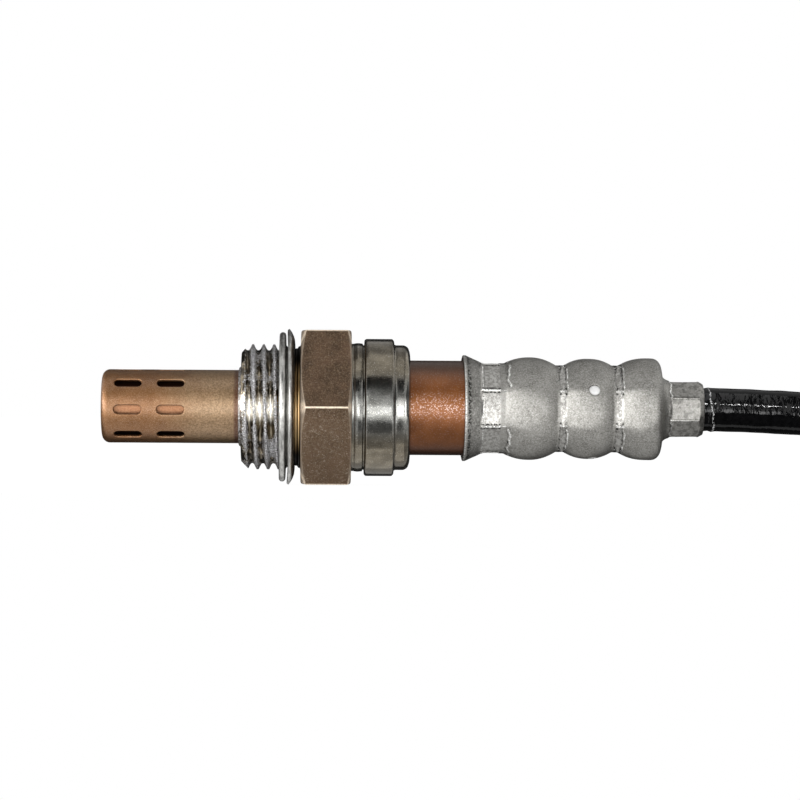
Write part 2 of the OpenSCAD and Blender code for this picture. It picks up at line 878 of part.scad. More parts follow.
// Strip along a separator hole, ending in the barrel that grips a wire
module terminal_rear(x0) {
    half_t = terminal_t / 2;
    strip(x0, barrel_x + terminal_t, terminal_pitch_r - half_t, terminal_pitch_r + half_t);
    translate([barrel_x, -terminal_pitch_r, 0])
        rotate([0, 90, 0])
            difference() {
                cylinder(h = barrel_len, r = barrel_r, $fn = small_fn);
                translate([0, 0, terminal_t])
                    cylinder(h = barrel_len, r = strand_r + crimp_gap, $fn = small_fn);
            }
}

module signal_contact() {
    floor_gap = 0.2;
    color([0.8, 0.75, 0.6])
        rotate([signal_angle, 0, 0]) {
            ring(element_tail_x - contact_depth + floor_gap, element_tail_x + terminal_t,
                contact_bore_r - slide_gap, heater_d / 2 + slide_gap);
            ring(element_tail_x, element_tail_x + terminal_t,
                terminal_pitch_r + terminal_t / 2, heater_d / 2 + slide_gap);
            terminal_rear(element_tail_x);
        }
}

module ground_contact() {
    inner_r = element_tail_d / 2 + slide_gap;
    outer_r = inner_r + terminal_t + slide_gap;
    grip_len = 2.9;
    grip_end_len = 0.5;
    turn_x = element_tail_x + 0.85;
    color([0.8, 0.78, 0.72])
        rotate([ground_angle, 0, 0]) {
            ring(element_tail_x - grip_len, element_tail_x + grip_end_len, outer_r, inner_r);
            strip(element_tail_x, turn_x + terminal_t, inner_r, outer_r - slide_gap);
            strip(turn_x, turn_x + terminal_t, terminal_pitch_r - terminal_t / 2,
                outer_r - slide_gap);
            terminal_rear(turn_x);
        }
}

module heater_terminal(angle) {
    pad_x = heater_end_x - pad_len - 0.4;
    rod_r = heater_d / 2;
    foot_r = sqrt(rod_r * rod_r - terminal_w * terminal_w / 4);
    color([0.78, 0.76, 0.7])
        rotate([angle, 0, 0]) {
            difference() {
                strip(pad_x, pad_x + pad_len, foot_r, rod_r + terminal_t);
                ring(pad_x - cut, pad_x + pad_len + cut, rod_r + crimp_gap);
            }
            strip(pad_x + pad_len - terminal_t, pad_x + pad_len, rod_r + terminal_t / 2,
                terminal_pitch_r + terminal_t / 2);
            terminal_rear(pad_x + pad_len - terminal_t);
        }
}

module heater_terminal_a() {
    heater_terminal(heater_a_angle);
}

module heater_terminal_b() {
    heater_terminal(heater_b_angle);
}

// Insulated wire from its terminal, through the rear tube and the grommet, to the lead
module inner_wire(angle) {
    side = [0, -cos(angle), -sin(angle)];
    drop_x = seat_x - seat_step_len - 1;
    reach = grommet_x - drop_x - 1.5;
    steps = 5;
    path = concat(
        [[insulation_x, 0, 0] + terminal_pitch_r * side],
        [[drop_x - 2, 0, 0] + terminal_pitch_r * side],
        [
            for (i = [0:steps])
                let (s = i / steps)
                    [drop_x + s * reach, 0, 0]
                    + (tube_pitch_r + (bundle_r - tube_pitch_r) * smooth(s)) * side
        ],
        [[grommet_x - 0.5, 0, 0] + bundle_r * side],
        [[wire_end_x, 0, 0] + bundle_r * side]
    );
    tube_along(path, wire_r, tail_sides);
    translate([strand_x, 0, 0] + terminal_pitch_r * side)
        rotate([0, 90, 0])
            cylinder(h = insulation_x - strand_x + 0.1, r = strand_r, $fn = small_fn);
}

module wire_signal() {
    color([0.25, 0.25, 0.6])
        inner_wire(signal_angle);
}

module wire_ground() {
    color([0.75, 0.72, 0.62])
        inner_wire(ground_angle);
}

module wire_heater_a() {
    color([0.15, 0.15, 0.15])
        inner_wire(heater_a_angle);
}

module wire_heater_b() {
    color([0.2, 0.2, 0.2])
        inner_wire(heater_b_angle);
}

module lead_tube() {
    color([0.06, 0.06, 0.06])
        tube_along(lead_route, lead_d / 2, lead_sides);
}

// Outer shape of the two runs of the hank
module lead_hank() {
    half = lead_d / 2;
    color([0.06, 0.06, 0.06])
        translate([hank_x, -half, lead_rest_z - half])
            cube([loop_neck_x - hank_x, run_pitch + lead_d, lead_d]);
}

// Outer shape of the loop where the hank turns back
module lead_loop() {
    half = lead_d / 2;
    join_x = loop_x - (loop_r + half) * sin(loop_turn);
    join_y = (loop_r + half) * cos(loop_turn);
    color([0.06, 0.06, 0.06])
        translate([0, 0, lead_rest_z - half])
            linear_extrude(lead_d) {
                polygon([
                    [loop_neck_x, -half],
                    [join_x, run_pitch / 2 - join_y],
                    [join_x, run_pitch / 2 + join_y],
                    [loop_neck_x, run_pitch + half],
                ]);
                translate([loop_x, run_pitch / 2])
                    circle(loop_r + half, $fn = round_fn);
            }
}

module lead_end() {
    color([0.06, 0.06, 0.06])
        translate([end_x, run_pitch, lead_rest_z])
            rotate([0, 90, 0])
                cylinder(h = hank_x - end_x, r = lead_d / 2, $fn = small_fn);
}

// Wrap of harness tape around the two runs
module hank_tie() {
    half = lead_d / 2;
    color([0.1, 0.1, 0.1])
        difference() {
            translate([tie_x, -half - tape_t, bench_z])
                cube([tie_w, run_pitch + lead_d + 2 * tape_t, lead_d + 2 * tape_t]);
            translate([tie_x - cut, -half, lead_rest_z - half])
                cube([tie_w + 2 * cut, run_pitch + lead_d, lead_d]);
        }
}

module sleeve_end_band() {
    color([0.1, 0.1, 0.1])
        translate([end_x, run_pitch, lead_rest_z])
            rotate([0, 90, 0])
                difference() {
                    cylinder(h = band_w, r = lead_d / 2 + tape_t, $fn = small_fn);
                    translate([0, 0, -cut])
                        cylinder(h = band_w + 2 * cut, r = lead_d / 2 + crimp_gap, $fn = small_fn);
                }
}

// Wire from the end of the lead to its cavity, where side is the sign of its Y and Z offset
module wire_tail(side) {
    bundle = bundle_r / sqrt(2);
    start = [end_x, run_pitch + side[0] * bundle, lead_rest_z + side[1] * bundle];
    cavity = cavity_centre(side);
    from_x = connector_end_x + 1.5;
    to_x = end_x - 1;
    steps = 6;
    path = concat(
        [[tail_strand_x, cavity[0], cavity[1]]],
        [[connector_end_x - 0.5, cavity[0], cavity[1]]],
        [
            for (i = [0:steps])
                let (s = i / steps, b = smooth(s))
                    [
                        from_x + s * (to_x - from_x),
                        cavity[0] + b * (start[1] - cavity[0]),
                        cavity[1] + b * (start[2] - cavity[1]),
                    ]
        ],
        [start]
    );
    tube_along(path, wire_r, tail_sides);
    translate([tail_strand_x - tail_strand_len, cavity[0], cavity[1]])
        rotate([0, 90, 0])
            cylinder(h = tail_strand_len + 0.1, r = strand_r, $fn = small_fn);
}

module tail_signal() {
    color([0.25, 0.25, 0.6])
        wire_tail([-1, 1]);
}

module tail_ground() {
    color([0.75, 0.72, 0.62])
        wire_tail([1, 1]);
}

module tail_heater_a() {
    color([0.15, 0.15, 0.15])
        wire_tail([-1, -1]);
}

module tail_heater_b() {
    color([0.2, 0.2, 0.2])
        wire_tail([1, -1]);
}

function cavity_centre(side) =
    [connector_y, connector_z] + cavity_pitch / 2 * side;

module at_cavities() {
    for (y = [-1, 1], z = [-1, 1])
        translate([0, cavity_centre([y, z])[0], cavity_centre([y, z])[1]])
            children();
}

// Arm that snaps over the mating connector, with its hook in front
module latch() {
    arm_z = nose_h / 2 + latch_gap;
    arm_x = connector_x + 3;
    hook_h = 0.9;
    hook_len = 3;
    root_len = 1.5;
    sink = 0.2;
    translate([arm_x, -latch_w / 2, arm_z])
        cube([nose_end_x - arm_x + 1, latch_w, latch_t]);
    translate([arm_x, latch_w / 2, arm_z + latch_t])
        rotate([90, 0, 0])
            linear_extrude(latch_w)
                polygon([[0, 0], [hook_len, hook_h], [hook_len, 0]]);
    translate([nose_end_x - root_len, -latch_w / 2, nose_h / 2 - sink])
        cube([root_len + 0.5, latch_w, latch_gap + 2 * sink]);
}

module connector_housing() {
    rail_w = 1;
    rail_len = 1.6;
    rail_y = latch_w / 2 + 1.4;
    body_corner = 2;
    nose_corner = 1.4;
    sink = 0.2;
    color([0.13, 0.13, 0.14])
        difference() {
            translate([0, connector_y, connector_z]) {
                rounded_block(nose_end_x, connector_end_x, connector_w, connector_h, body_corner);
                rounded_block(connector_x, nose_end_x + 1, nose_w, nose_h, nose_corner);
                latch();
                for (side = [-1, 1])
                    translate([nose_end_x - rail_len, side * rail_y - rail_w / 2, nose_h / 2 - sink])
                        cube([rail_len + 0.5, rail_w, latch_gap + latch_t]);
            }
            at_cavities() {
                translate([connector_x - cut, -cavity_w / 2, -cavity_w / 2])
                    cube([connector_len - seal_depth + cut, cavity_w, cavity_w]);
                translate([connector_end_x - seal_depth, 0, 0])
                    rotate([0, 90, 0])
                        cylinder(h = seal_depth + cut, r = seal_r, $fn = small_fn);
            }
        }
}

module connector_terminals() {
    mouth = 1.2;
    mouth_depth = 8;
    barrel_end_x = tail_strand_x - 0.1;
    color([0.85, 0.7, 0.4])
        at_cavities()
            difference() {
                union() {
                    translate([pin_x, -pin_w / 2, -pin_w / 2])
                        cube([pin_len, pin_w, pin_w]);
                    translate([pin_x + pin_len - 0.5, 0, 0])
                        rotate([0, 90, 0])
                            cylinder(h = barrel_end_x - pin_x - pin_len + 0.5, r = barrel_r,
                                $fn = small_fn);
                }
                translate([pin_x - cut, -mouth / 2, -mouth / 2])
                    cube([mouth_depth + cut, mouth, mouth]);
                translate([tail_strand_x - tail_strand_len - crimp_gap, 0, 0])
                    rotate([0, 90, 0])
                        cylinder(h = tail_strand_len + cut, r = strand_r + crimp_gap,
                            $fn = small_fn);
            }
}

module connector_wire_seals() {
    rib_count = 3;
    rib_w = 0.8;
    rib_pitch = 1.8;
    rib_setback = 0.3;
    x0 = connector_end_x - seal_depth + 0.4;
    x1 = connector_end_x - 0.3;
    color([0.55, 0.15, 0.12])
        at_cavities()
            difference() {
                union() {
                    translate([x0, 0, 0])
                        rotate([0, 90, 0])
                            cylinder(h = x1 - x0, r = seal_r - rib_setback, $fn = small_fn);
                    for (i = [0:rib_count - 1])
                        translate([x0 + rib_setback + i * rib_pitch, 0, 0])
                            rotate([0, 90, 0])
                                cylinder(h = rib_w, r = seal_r - crimp_gap, $fn = small_fn);
                }
                translate([x0 - cut, 0, 0])
                    rotate([0, 90, 0])
                        cylinder(h = x1 - x0 + 2 * cut, r = wire_r + crimp_gap, $fn = small_fn);
            }
}

// Clip over the front of the nose that keeps the terminals from backing out
module connector_lock() {
    front_w = nose_w + 2 * lock_t;
    leg_h = nose_h - 3.2;
    plate_inset = 1.5;
    port_w = 1.4;
    color([0.75, 0.72, 0.65])
        difference() {
            translate([0, connector_y, connector_z]) {
                rounded_block(connector_x - lock_t, connector_x, nose_w - plate_inset,
                    nose_h - plate_inset, 1);
                translate([connector_x - lock_t, -front_w / 2, -leg_h / 2])
                    cube([lock_t, front_w, leg_h]);
                for (side = [-1, 1])
                    translate([connector_x - lock_t, side * (nose_w + lock_t) / 2 - lock_t / 2,
                        -leg_h / 2])
                        cube([lock_leg, lock_t, leg_h]);
            }
            at_cavities()
                translate([connector_x - lock_t - cut, -port_w / 2, -port_w / 2])
                    cube([lock_t + 2 * cut, port_w, port_w]);
        }
}

module connector_face_seal() {
    seal_len = 3;
    seal_t = 0.8;
    lip_w = 0.6;
    lip_setback = 0.4;
    x1 = nose_end_x - 2;
    x0 = x1 - seal_len;
    color([0.55, 0.15, 0.12])
        translate([0, connector_y, connector_z])
            difference() {
                union() {
                    rounded_block(x0, x1, nose_w + seal_t, nose_h + seal_t, 1.8);
                    for (x = [x0 + lip_setback, x1 - lip_setback - lip_w])
                        rounded_block(x, x + lip_w, nose_w + 2 * seal_t, nose_h + 2 * seal_t, 2.2);
                }
                rounded_block(x0 - cut, x1 + cut, nose_w + 2 * crimp_gap, nose_h + 2 * crimp_gap, 1.42);
            }
}

outer_protection_tube();
inner_protection_tube();
sensing_element();
heater_rod();
housing();
crush_gasket();
seat_washer();
talc_seal();
ceramic_bushing();
crimp_ring();
rear_sleeve();
outer_cover();
vent_filter();
grommet();
terminal_separator();
separator_clip();
signal_contact();
ground_contact();
heater_terminal_a();
heater_terminal_b();
wire_signal();
wire_ground();
wire_heater_a();
wire_heater_b();
lead_tube();
lead_hank();
lead_loop();
lead_end();
hank_tie();
sleeve_end_band();
tail_signal();
tail_ground();
tail_heater_a();
tail_heater_b();
connector_housing();
connector_terminals();
connector_wire_seals();
connector_lock();
connector_face_seal();
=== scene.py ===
# The looks of a heated oxygen sensor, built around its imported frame.
# Sizes below are millimetres and angles are degrees. An angle round the sensor starts at -Y,
# the side that faces the camera, and grows downwards.
import math
from contextlib import contextmanager

import bmesh
import bpy
import numpy as np
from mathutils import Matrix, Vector, noise


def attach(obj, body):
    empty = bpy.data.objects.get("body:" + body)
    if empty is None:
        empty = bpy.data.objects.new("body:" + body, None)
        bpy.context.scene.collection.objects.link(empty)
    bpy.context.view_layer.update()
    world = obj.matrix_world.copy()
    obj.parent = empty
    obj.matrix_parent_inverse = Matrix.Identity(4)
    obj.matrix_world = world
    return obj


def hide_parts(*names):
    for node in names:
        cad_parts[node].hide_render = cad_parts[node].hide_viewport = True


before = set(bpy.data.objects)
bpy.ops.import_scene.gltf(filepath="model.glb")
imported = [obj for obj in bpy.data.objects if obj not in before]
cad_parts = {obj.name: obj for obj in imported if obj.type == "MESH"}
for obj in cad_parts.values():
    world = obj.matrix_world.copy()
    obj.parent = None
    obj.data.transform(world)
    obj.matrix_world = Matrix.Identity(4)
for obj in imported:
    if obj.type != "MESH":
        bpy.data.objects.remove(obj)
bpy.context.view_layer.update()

MM = 0.001
# Points this near to each other are one, and pieces of a rim this short are slivers
SAME_POINT = 0.002
SLIVER = 0.02

# Camera
CAMERA_X = 6.7
VIEW_DISTANCE = 450
VIEW_WIDTH = 114.7
VIEW_X = 17.3
VIEW_Z = 1.1
VIEW_ROLL = 0.37
SENSOR_W = 36

# Thread and gasket
THREAD_R = 8.9
THREAD_PITCH = 1.515
THREAD_DEPTH = 0.84
THREAD_CREST_W = 0.26
THREAD_STEP = 0.085
THREAD_TOP_X = -3.79
THREAD_FRONT_X = -5.37
THREAD_END_X = 0.3
THREAD_CHAMFER = 1.1
LIP_PROUD = 0.4
UNDERCUT_R = 8.1
UNDERCUT_END_X = 2
PASTE_PATCH = (-0.7, -6.3, -6.2)
PASTE_PATCH_SIZE = (1.0, 2.6, 1.5)
GASKET_SHEET = 0.35
GASKET_INNER_R = 8.225
GASKET_FOLD_R = 10.7
GASKET_RIM_R = 11.15
GASKET_FRONT_W = 0.95
GASKET_REAR_X = 2.25

# Hexagon
HEX_X = 3.1
HEX_END_X = 10.3
HEX_APOTHEM = 10.95
HEX_FACE_R = 10.7
HEX_CORNER_R = HEX_APOTHEM / math.cos(math.radians(30))
HEX_FRONT_CHAMFER = 0.75
HEX_REAR_CHAMFER = 0.5
HEX_ROUND = 0.22

# Rear of the threaded shell
SKIRT_R = 9.15
SKIRT_END_X = 12.15
BAND_R = 9.82
BAND_END_X = 16.38
SHOULDER_R = 8.94
SHELL_END_X = 18.66
CLOSING_LIP_X = 16.36
REAR_BORE_R = 7.33
FRONT_BORE_R = 6.6
FRONT_BORE_END_X = 2.6
LEDGE_X = -4.2

# Protection tube
TUBE_R = 5.25
TUBE_WALL = 0.4
TIP_X = -25.25
TIP_CORNER = 1.1
SLOT_ROWS = [-21.42, -15.35]
SLOT_LEN = 3.9
SLOT_W = 1.3
SLOT_COUNT = 8
SLOT_TURN = 5.5
SLOT_ROUND = 0.16
SLOT_CELL = 5.44

# Rear tube and outer cover
REAR_TUBE_R = 6.78
COVER_X = 26.3
COVER_WALL = 0.4
COVER_STEP = 0.14
FLARE_R = 7.6
JAW_X = 28.72
JAW_END_X = 31.45
CRIMP_END_X = 32.2
CRIMP_R = 6.47
JAW_HALF = 22.5
NECKS = [40.2, 48.15]
NECK_R = 6.22
NECK_MARK_X = [(39.9, 40.85), (47.85, 48.9)]
# Bulges as (x and radius of the top, distance and drop to the front, and to the rear)
BULGES = [
    (35.8, 7.35, (3.6, 0.85), (4.2, 1.4)),
    (44.3, 7.2, (3.6, 1.0), (3.85, 1.35)),
    (52.4, 7.31, (3.85, 1.1), (3.6, 0.15)),
]
REAR_BULGE_R = 7.3
FLARE_SLOPE = 0.445
COVER_END_X = 54.6
COVER_CORNER = 1.3
LEAD_CRIMP_R = 3.94
LEAD_BORE_R = 3.54
LEAD_EXIT_X = 60.7
VENT_ANGLES = [-22, 78, 208]
VENT_X = 44.7
VENT_R = 0.825
VENT_CUT_R = 7
VENT_CUT_LEN = 3
VENT_TOP_R = 7.3
VENT_DOME_R = 6.92

# Lead, with the route that its CAD solids have
LEAD_R = 3.1
SLEEVE_R = LEAD_R + 0.02
LEAD_ROUTE = [
    (57.1, 0, 0), (62, 0, 0), (70, 0, 0), (78, 0, -0.4), (86, 0, -1.5), (94, 0, -3.1),
    (102, 0, -4.7), (110, 0, -6.2), (118, 0, -7.3), (126, 0, -7.7), (134, 0, -7.7),
]
ROUTE_STEP = 8
LEAD_REST_Z = -7.7
BENCH_Z = -11.15
RUN_PITCH = 6.6
LOOP_NECK_X = 176
LOOP_R = 19
LEAD_END_X = 122
TIE_X = 142
TIE_W = 10
TIE_SIDES = 132
TIE_CLIMB = 3.4
TAPE_T = 0.35
END_BAND_W = 9
WIRE_R = 0.85
TAIL_OFFSET = 1.142
CAVITY_OFFSET = 2.3
CONNECTOR_Y = 13
CONNECTOR_Z = -4.65
CONNECTOR_END_X = 108

# Stage, with the distance of the lamps in metres
WORLD_FILL = 0.35
LAMP_DISTANCE = 1.05
TABLE_FRONT_Y = -46
TABLE_REACH = 1500
WALL_FRONT_Y = -640
WALL_REAR_Y = 60
STAGE_LEFT = -400
STAGE_RIGHT = 450


def srgb(red, green, blue):
    """A linear colour from the 0 to 255 values that a screen shows"""
    def linear(value):
        share = value / 255
        return share / 12.92 if share <= 0.04045 else ((share + 0.055) / 1.055) ** 2.4
    return (linear(red), linear(green), linear(blue), 1)


# Camera first, then the lead, because the room that cords may take depends on the view
def add_camera():
    data = bpy.data.cameras.new("camera")
    data.sensor_width = SENSOR_W
    data.lens = SENSOR_W * VIEW_DISTANCE / VIEW_WIDTH
    data.clip_start = 0.005
    data.clip_end = 20
    camera = bpy.data.objects.new("camera", data)
    camera.location = (CAMERA_X * MM, -VIEW_DISTANCE * MM, VIEW_Z * MM)
    turn = math.atan2(CAMERA_X - VIEW_X, VIEW_DISTANCE)
    camera.rotation_euler = (math.radians(90), math.radians(-VIEW_ROLL), turn)
    bpy.context.scene.collection.objects.link(camera)
    bpy.context.scene.camera = camera


add_camera()


def add_node(tree, kind, inputs=(), **settings):
    """A shader node whose inputs take values or links"""
    node = tree.nodes.new(kind)
    for key, value in settings.items():
        setattr(node, key, value)
    for key, value in dict(inputs).items():
        if isinstance(value, bpy.types.NodeSocket):
            tree.links.new(value, node.inputs[key])
        else:
            node.inputs[key].default_value = value
    return node


class Surface:
    """A Principled material with procedural nodes that read object space in millimetres.
    Colours are sockets, or the 0 to 255 values that a screen shows."""

    def __init__(self, name, **constants):
        self.material = bpy.data.materials.new(name)
        self.material.use_nodes = True
        self.tree = self.material.node_tree
        self.shader = self.tree.nodes["Principled BSDF"]
        for key, value in constants.items():
            label = key.replace("_", " ").title().replace("Ior", "IOR")
            self.shader.inputs[label].default_value = value
        self.space = self.add("ShaderNodeTexCoord").outputs["Object"]

    def add(self, kind, inputs=(), **settings):
        return add_node(self.tree, kind, inputs, **settings)

    def place(self, stretch=(1, 1, 1), shift=(0, 0, 0)):
        inputs = {"Vector": self.space, "Scale": [s / MM for s in stretch], "Location": shift}
        return self.add("ShaderNodeMapping", inputs).outputs[0]

    def noise(self, scale, detail=3, rough=0.55, stretch=(1, 1, 1), distortion=0, shift=(0, 0, 0)):
        inputs = {"Vector": self.place(stretch, shift), "Scale": scale, "Detail": detail,
                  "Roughness": rough, "Distortion": distortion}
        return self.add("ShaderNodeTexNoise", inputs).outputs[0]

    def calc(self, operation, a, b=0.0, c=0.0):
        return self.add("ShaderNodeMath", {0: a, 1: b, 2: c}, operation=operation).outputs[0]

    def times(self, a, b):
        return self.calc("MULTIPLY", a, b)

    def step(self, value, low, high, to_low=0.0, to_high=1.0):
        """value mapped from low..high to to_low..to_high, smooth at both ends"""
        inputs = {"Value": value, "From Min": low, "From Max": high, "To Min": to_low, "To Max": to_high}
        return self.add("ShaderNodeMapRange", inputs, interpolation_type="SMOOTHSTEP").outputs[0]

    def axis(self, name):
        """One coordinate in millimetres"""
        return self.add("ShaderNodeSeparateXYZ", {0: self.place()}).outputs[name]

    def off_axis(self, middle=0.0):
        """Distance above or below middle, in millimetres"""
        return self.calc("ABSOLUTE", self.calc("SUBTRACT", self.axis("Z"), middle))

    def attribute(self, name):
        return self.add("ShaderNodeAttribute", attribute_name=name).outputs["Fac"]

    def mix(self, factor, a, b):
        """a where factor is 0 and b where it is 1"""
        a, b = (srgb(*tone) if isinstance(tone, tuple) else tone for tone in (a, b))
        return self.add("ShaderNodeMix", {0: factor, 6: a, 7: b}, data_type="RGBA").outputs[2]

    def tones(self, value, low, high, a, b):
        """a where value is under low and b where it is over high"""
        return self.mix(self.step(value, low, high), a, b)

    def put(self, name, socket):
        self.tree.links.new(socket, self.shader.inputs[name])

    def finish(self, colour, roughness, *bumps):
        """The material, with its bumps as (height, depth in millimetres)"""
        self.put("Base Color", colour)
        if roughness is not None:
            self.put("Roughness", roughness)
        below = {}
        for height, depth in bumps:
            inputs = {"Height": height, "Distance": depth * MM, "Strength": 1.0, **below}
            below = {"Normal": self.add("ShaderNodeBump", inputs).outputs[0]}
        self.put("Normal", below["Normal"])
        return self.material


# Mesh helpers
def make_object(name, points, faces, materials, smooth=True):
    mesh = bpy.data.meshes.new(name)
    mesh.from_pydata((np.asarray(points, float) * MM).tolist(), [], faces)
    mesh.polygons.foreach_set("use_smooth", [smooth] * len(mesh.polygons))
    for surface in materials:
        mesh.materials.append(surface)
    mesh.validate()
    mesh.update()
    piece = bpy.data.objects.new(name, mesh)
    bpy.context.scene.collection.objects.link(piece)
    return piece


def around_axis(x, r, angles, centre=(0, 0)):
    """Points at axial places x and radii r, both arrays of rows by angles"""
    a = np.radians(angles)[None, :]
    y = centre[0] - r * np.cos(a)
    z = centre[1] - r * np.sin(a)
    return np.stack([np.broadcast_to(x, r.shape), y, z], axis=2)


def grid_faces(rows, columns, closed_rows):
    """Quads between rows of points whose columns close round; rows close too if asked"""
    faces = []
    last = rows if closed_rows else rows - 1
    for i in range(last):
        this, following = i * columns, (i + 1) % rows * columns
        for j in range(columns):
            k = (j + 1) % columns
            faces.append((this + j, this + k, following + k, following + j))
    return faces


def turned_mesh(name, rows, angles, materials, closed=True, centre=(0, 0)):
    """A body of revolution from (x, r) rows, where x and r are numbers or arrays over the angles"""
    count = len(angles)
    x = np.array([np.broadcast_to(row[0], count) for row in rows], float)
    r = np.array([np.broadcast_to(row[1], count) for row in rows], float)
    points = around_axis(x, r, angles, centre).reshape(-1, 3)
    return make_object(name, points, grid_faces(len(rows), count, closed), materials)


def rounded(knots, steps=3):
    """Rows along the corners (x, r, cut) of a profile, each corner cut back by cut and rounded"""
    rows = []
    for i, (x, r, cut) in enumerate(knots):
        if cut == 0 or i in (0, len(knots) - 1):
            rows.append((x, r))
            continue
        ends = []
        for other in (knots[i - 1], knots[i + 1]):
            dx, dr = other[0] - x, other[1] - r
            length = np.maximum(np.hypot(dx, dr), 1e-6)
            share = np.minimum(cut / length, 0.45)
            ends.append((x + dx * share, r + dr * share))
        for k in range(steps + 1):
            t = k / steps
            rows.append(tuple(
                (1 - t) ** 2 * ends[0][c] + 2 * t * (1 - t) * (x, r)[c] + t ** 2 * ends[1][c]
                for c in (0, 1)
            ))
    return rows


def spread(points, spacing):
    """The rows with more between them, so that none are further apart than spacing"""
    rows = [points[0]]
    for before, after in zip(points, points[1:]):
        gap = np.max(np.hypot(np.subtract(after[0], before[0]), np.subtract(after[1], before[1])))
        count = max(1, int(math.ceil(gap / spacing)))
        for k in range(1, count + 1):
            t = k / count
            rows.append(tuple(before[c] * (1 - t) + after[c] * t for c in (0, 1)))
    return rows


def angles_with(count, special=(), offsets=(0,)):
    """Evenly spaced angles, with more at offsets from each special angle"""
    base = [360 * i / count for i in range(count)]
    more = [(a + o) % 360 for a in special for o in offsets]
    return np.array(sorted(set(np.round(base + more, 4))))


def smoothstep(value, low, high):
    t = np.clip((value - low) / (high - low), 0, 1)
    return t * t * (3 - 2 * t)


def lumps(points, scale, seed=0.0):
    """Smooth noise from -1 to 1 at points in millimetres, with features of 1 / scale"""
    shift = Vector((seed, 2 * seed, 3 * seed))
    return np.array([noise.noise(Vector(p) * scale + shift) for p in points])


def add_mask(piece, name, start, values, before=0.0):
    """A number for each point: values from the point start on, before them before, and 0 after"""
    amount = np.zeros(len(piece.data.vertices))
    amount[:start] = before
    amount[start:start + len(values)] = values
    piece.data.attributes.new(name, "FLOAT", "POINT").data.foreach_set("value", amount)


def knots_from(x, r, *knots):
    """Knots of a profile that are given from its corner at (x, r)"""
    return [(x + dx, r + dr, cut) for dx, dr, cut in knots]


@contextmanager
def edited(mesh):
    work = bmesh.new()
    work.from_mesh(mesh)
    yield work
    work.to_mesh(mesh)
    work.free()


def mesh_points(piece):
    points = np.zeros(len(piece.data.vertices) * 3)
    piece.data.vertices.foreach_get("co", points)
    return points.reshape(-1, 3) / MM


def move_points(piece, points):
    piece.data.vertices.foreach_set("co", (points * MM).ravel())


def finish_piece(piece, slot, *nodes):
    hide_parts(*nodes)
    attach(piece, "root")


# Materials of the sensor
def protection_tube_surface():
    s = Surface("heat_tinted_tube", metallic=1.0, coat_weight=0.6, coat_roughness=0.28)
    x = s.axis("X")
    blotch = s.noise(0.3, detail=5)
    fine = s.noise(3.2, detail=4, rough=0.7)
    grain = s.noise(8, detail=3, rough=0.7)
    copper = s.tones(blotch, 0.3, 0.7, (114, 73, 35), (132, 88, 46))
    grey = s.tones(fine, 0.36, 0.66, (116, 92, 62), (158, 130, 98))
    body = s.tones(s.calc("ADD", x, s.times(blotch, 8)), -15, -5, copper, grey)
    body = s.tones(x, -6.6, -6.1, body, (84, 48, 28))
    body = s.mix(s.step(grain, 0.4, 0.75, 0, 0.5), body, (196, 168, 140))
    return s.finish(body, s.step(fine, 0.3, 0.7, 0.42, 0.54), (fine, 0.013), (grain, 0.014))


def inner_tube_surface():
    s = Surface("inner_tube_metal", metallic=0.9)
    fine = s.noise(3.5, detail=4, rough=0.7)
    body = s.tones(fine, 0.35, 0.65, (138, 97, 70), (168, 124, 93))
    # Painted shade: dark above and below the middle height, behind the upper and lower rows of slots
    body = s.tones(s.off_axis(), 0.9, 2.4, body, (52, 30, 20))
    return s.finish(body, s.step(fine, 0.3, 0.7, 0.4, 0.55), (fine, 0.01))


def thread_surface():
    """Bare metal with a painted highlight along its middle height, under paste where the mesh says so"""
    s = Surface("thread_metal")
    tone = s.noise(0.8, detail=4, stretch=(2.5, 0.8, 0.8))
    metal = s.tones(tone, 0.4, 0.6, (44, 37, 28), (152, 141, 122))
    # Painted highlight: near white metal along the middle height
    metal = s.mix(s.step(s.off_axis(-0.3), 2.4, 0.5, 0, 0.75), metal, (238, 235, 228))
    grain = s.noise(5.5, detail=5, rough=0.75)
    grease = s.tones(grain, 0.44, 0.58, (50, 48, 46), (212, 211, 213))
    grease = s.tones(s.noise(7, detail=3, rough=0.7), 0.55, 0.61, grease, (248, 248, 250))
    ragged = s.calc("ADD", s.attribute("paste"), s.step(grain, 0.3, 0.7, -0.3, 0.3))
    covered = s.step(ragged, 0.42, 0.58)
    s.put("Metallic", s.step(covered, 0, 1, 1.0, 0.55))
    return s.finish(s.mix(covered, metal, grease), s.step(covered, 0, 1, 0.16, 0.4),
                    (s.times(grain, covered), 0.09))


def hexagon_surface():
    """Dark oxide with a painted paler lower half, scratched on the lower half, and bright at the edges from
    rubbing and a painted highlight
    """
    s = Surface("hexagon_oxide", metallic=0.3, specular_ior_level=0.2)
    blotch = s.noise(0.35, detail=6, rough=0.65)
    speck = s.noise(4.5, detail=4, rough=0.8)
    scratch = s.step(s.noise(3.2, detail=6, rough=0.85, distortion=1.4), 0.55, 0.61)
    low = s.step(s.axis("Z"), 1, -3)
    body = s.tones(blotch, 0.32, 0.68, (62, 47, 34), (90, 69, 53))
    body = s.tones(speck, 0.44, 0.68, body, (118, 98, 76))
    # Painted light: the lower half is painted paler
    body = s.mix(s.times(low, 0.36), body, (124, 103, 82))
    body = s.mix(s.times(scratch, s.step(low, 0, 1, 0.25, 0.85)), body, (184, 168, 150))
    # Bright at the corners and chamfers: rubbed metal, with a painted highlight
    worn_and_lit = s.times(s.attribute("wear_and_highlight"), s.step(speck, 0.3, 0.55, 0.45, 1))
    return s.finish(s.mix(worn_and_lit, body, (255, 236, 212)), s.step(speck, 0.3, 0.7, 0.48, 0.66),
                    (speck, 0.03), (blotch, 0.05))


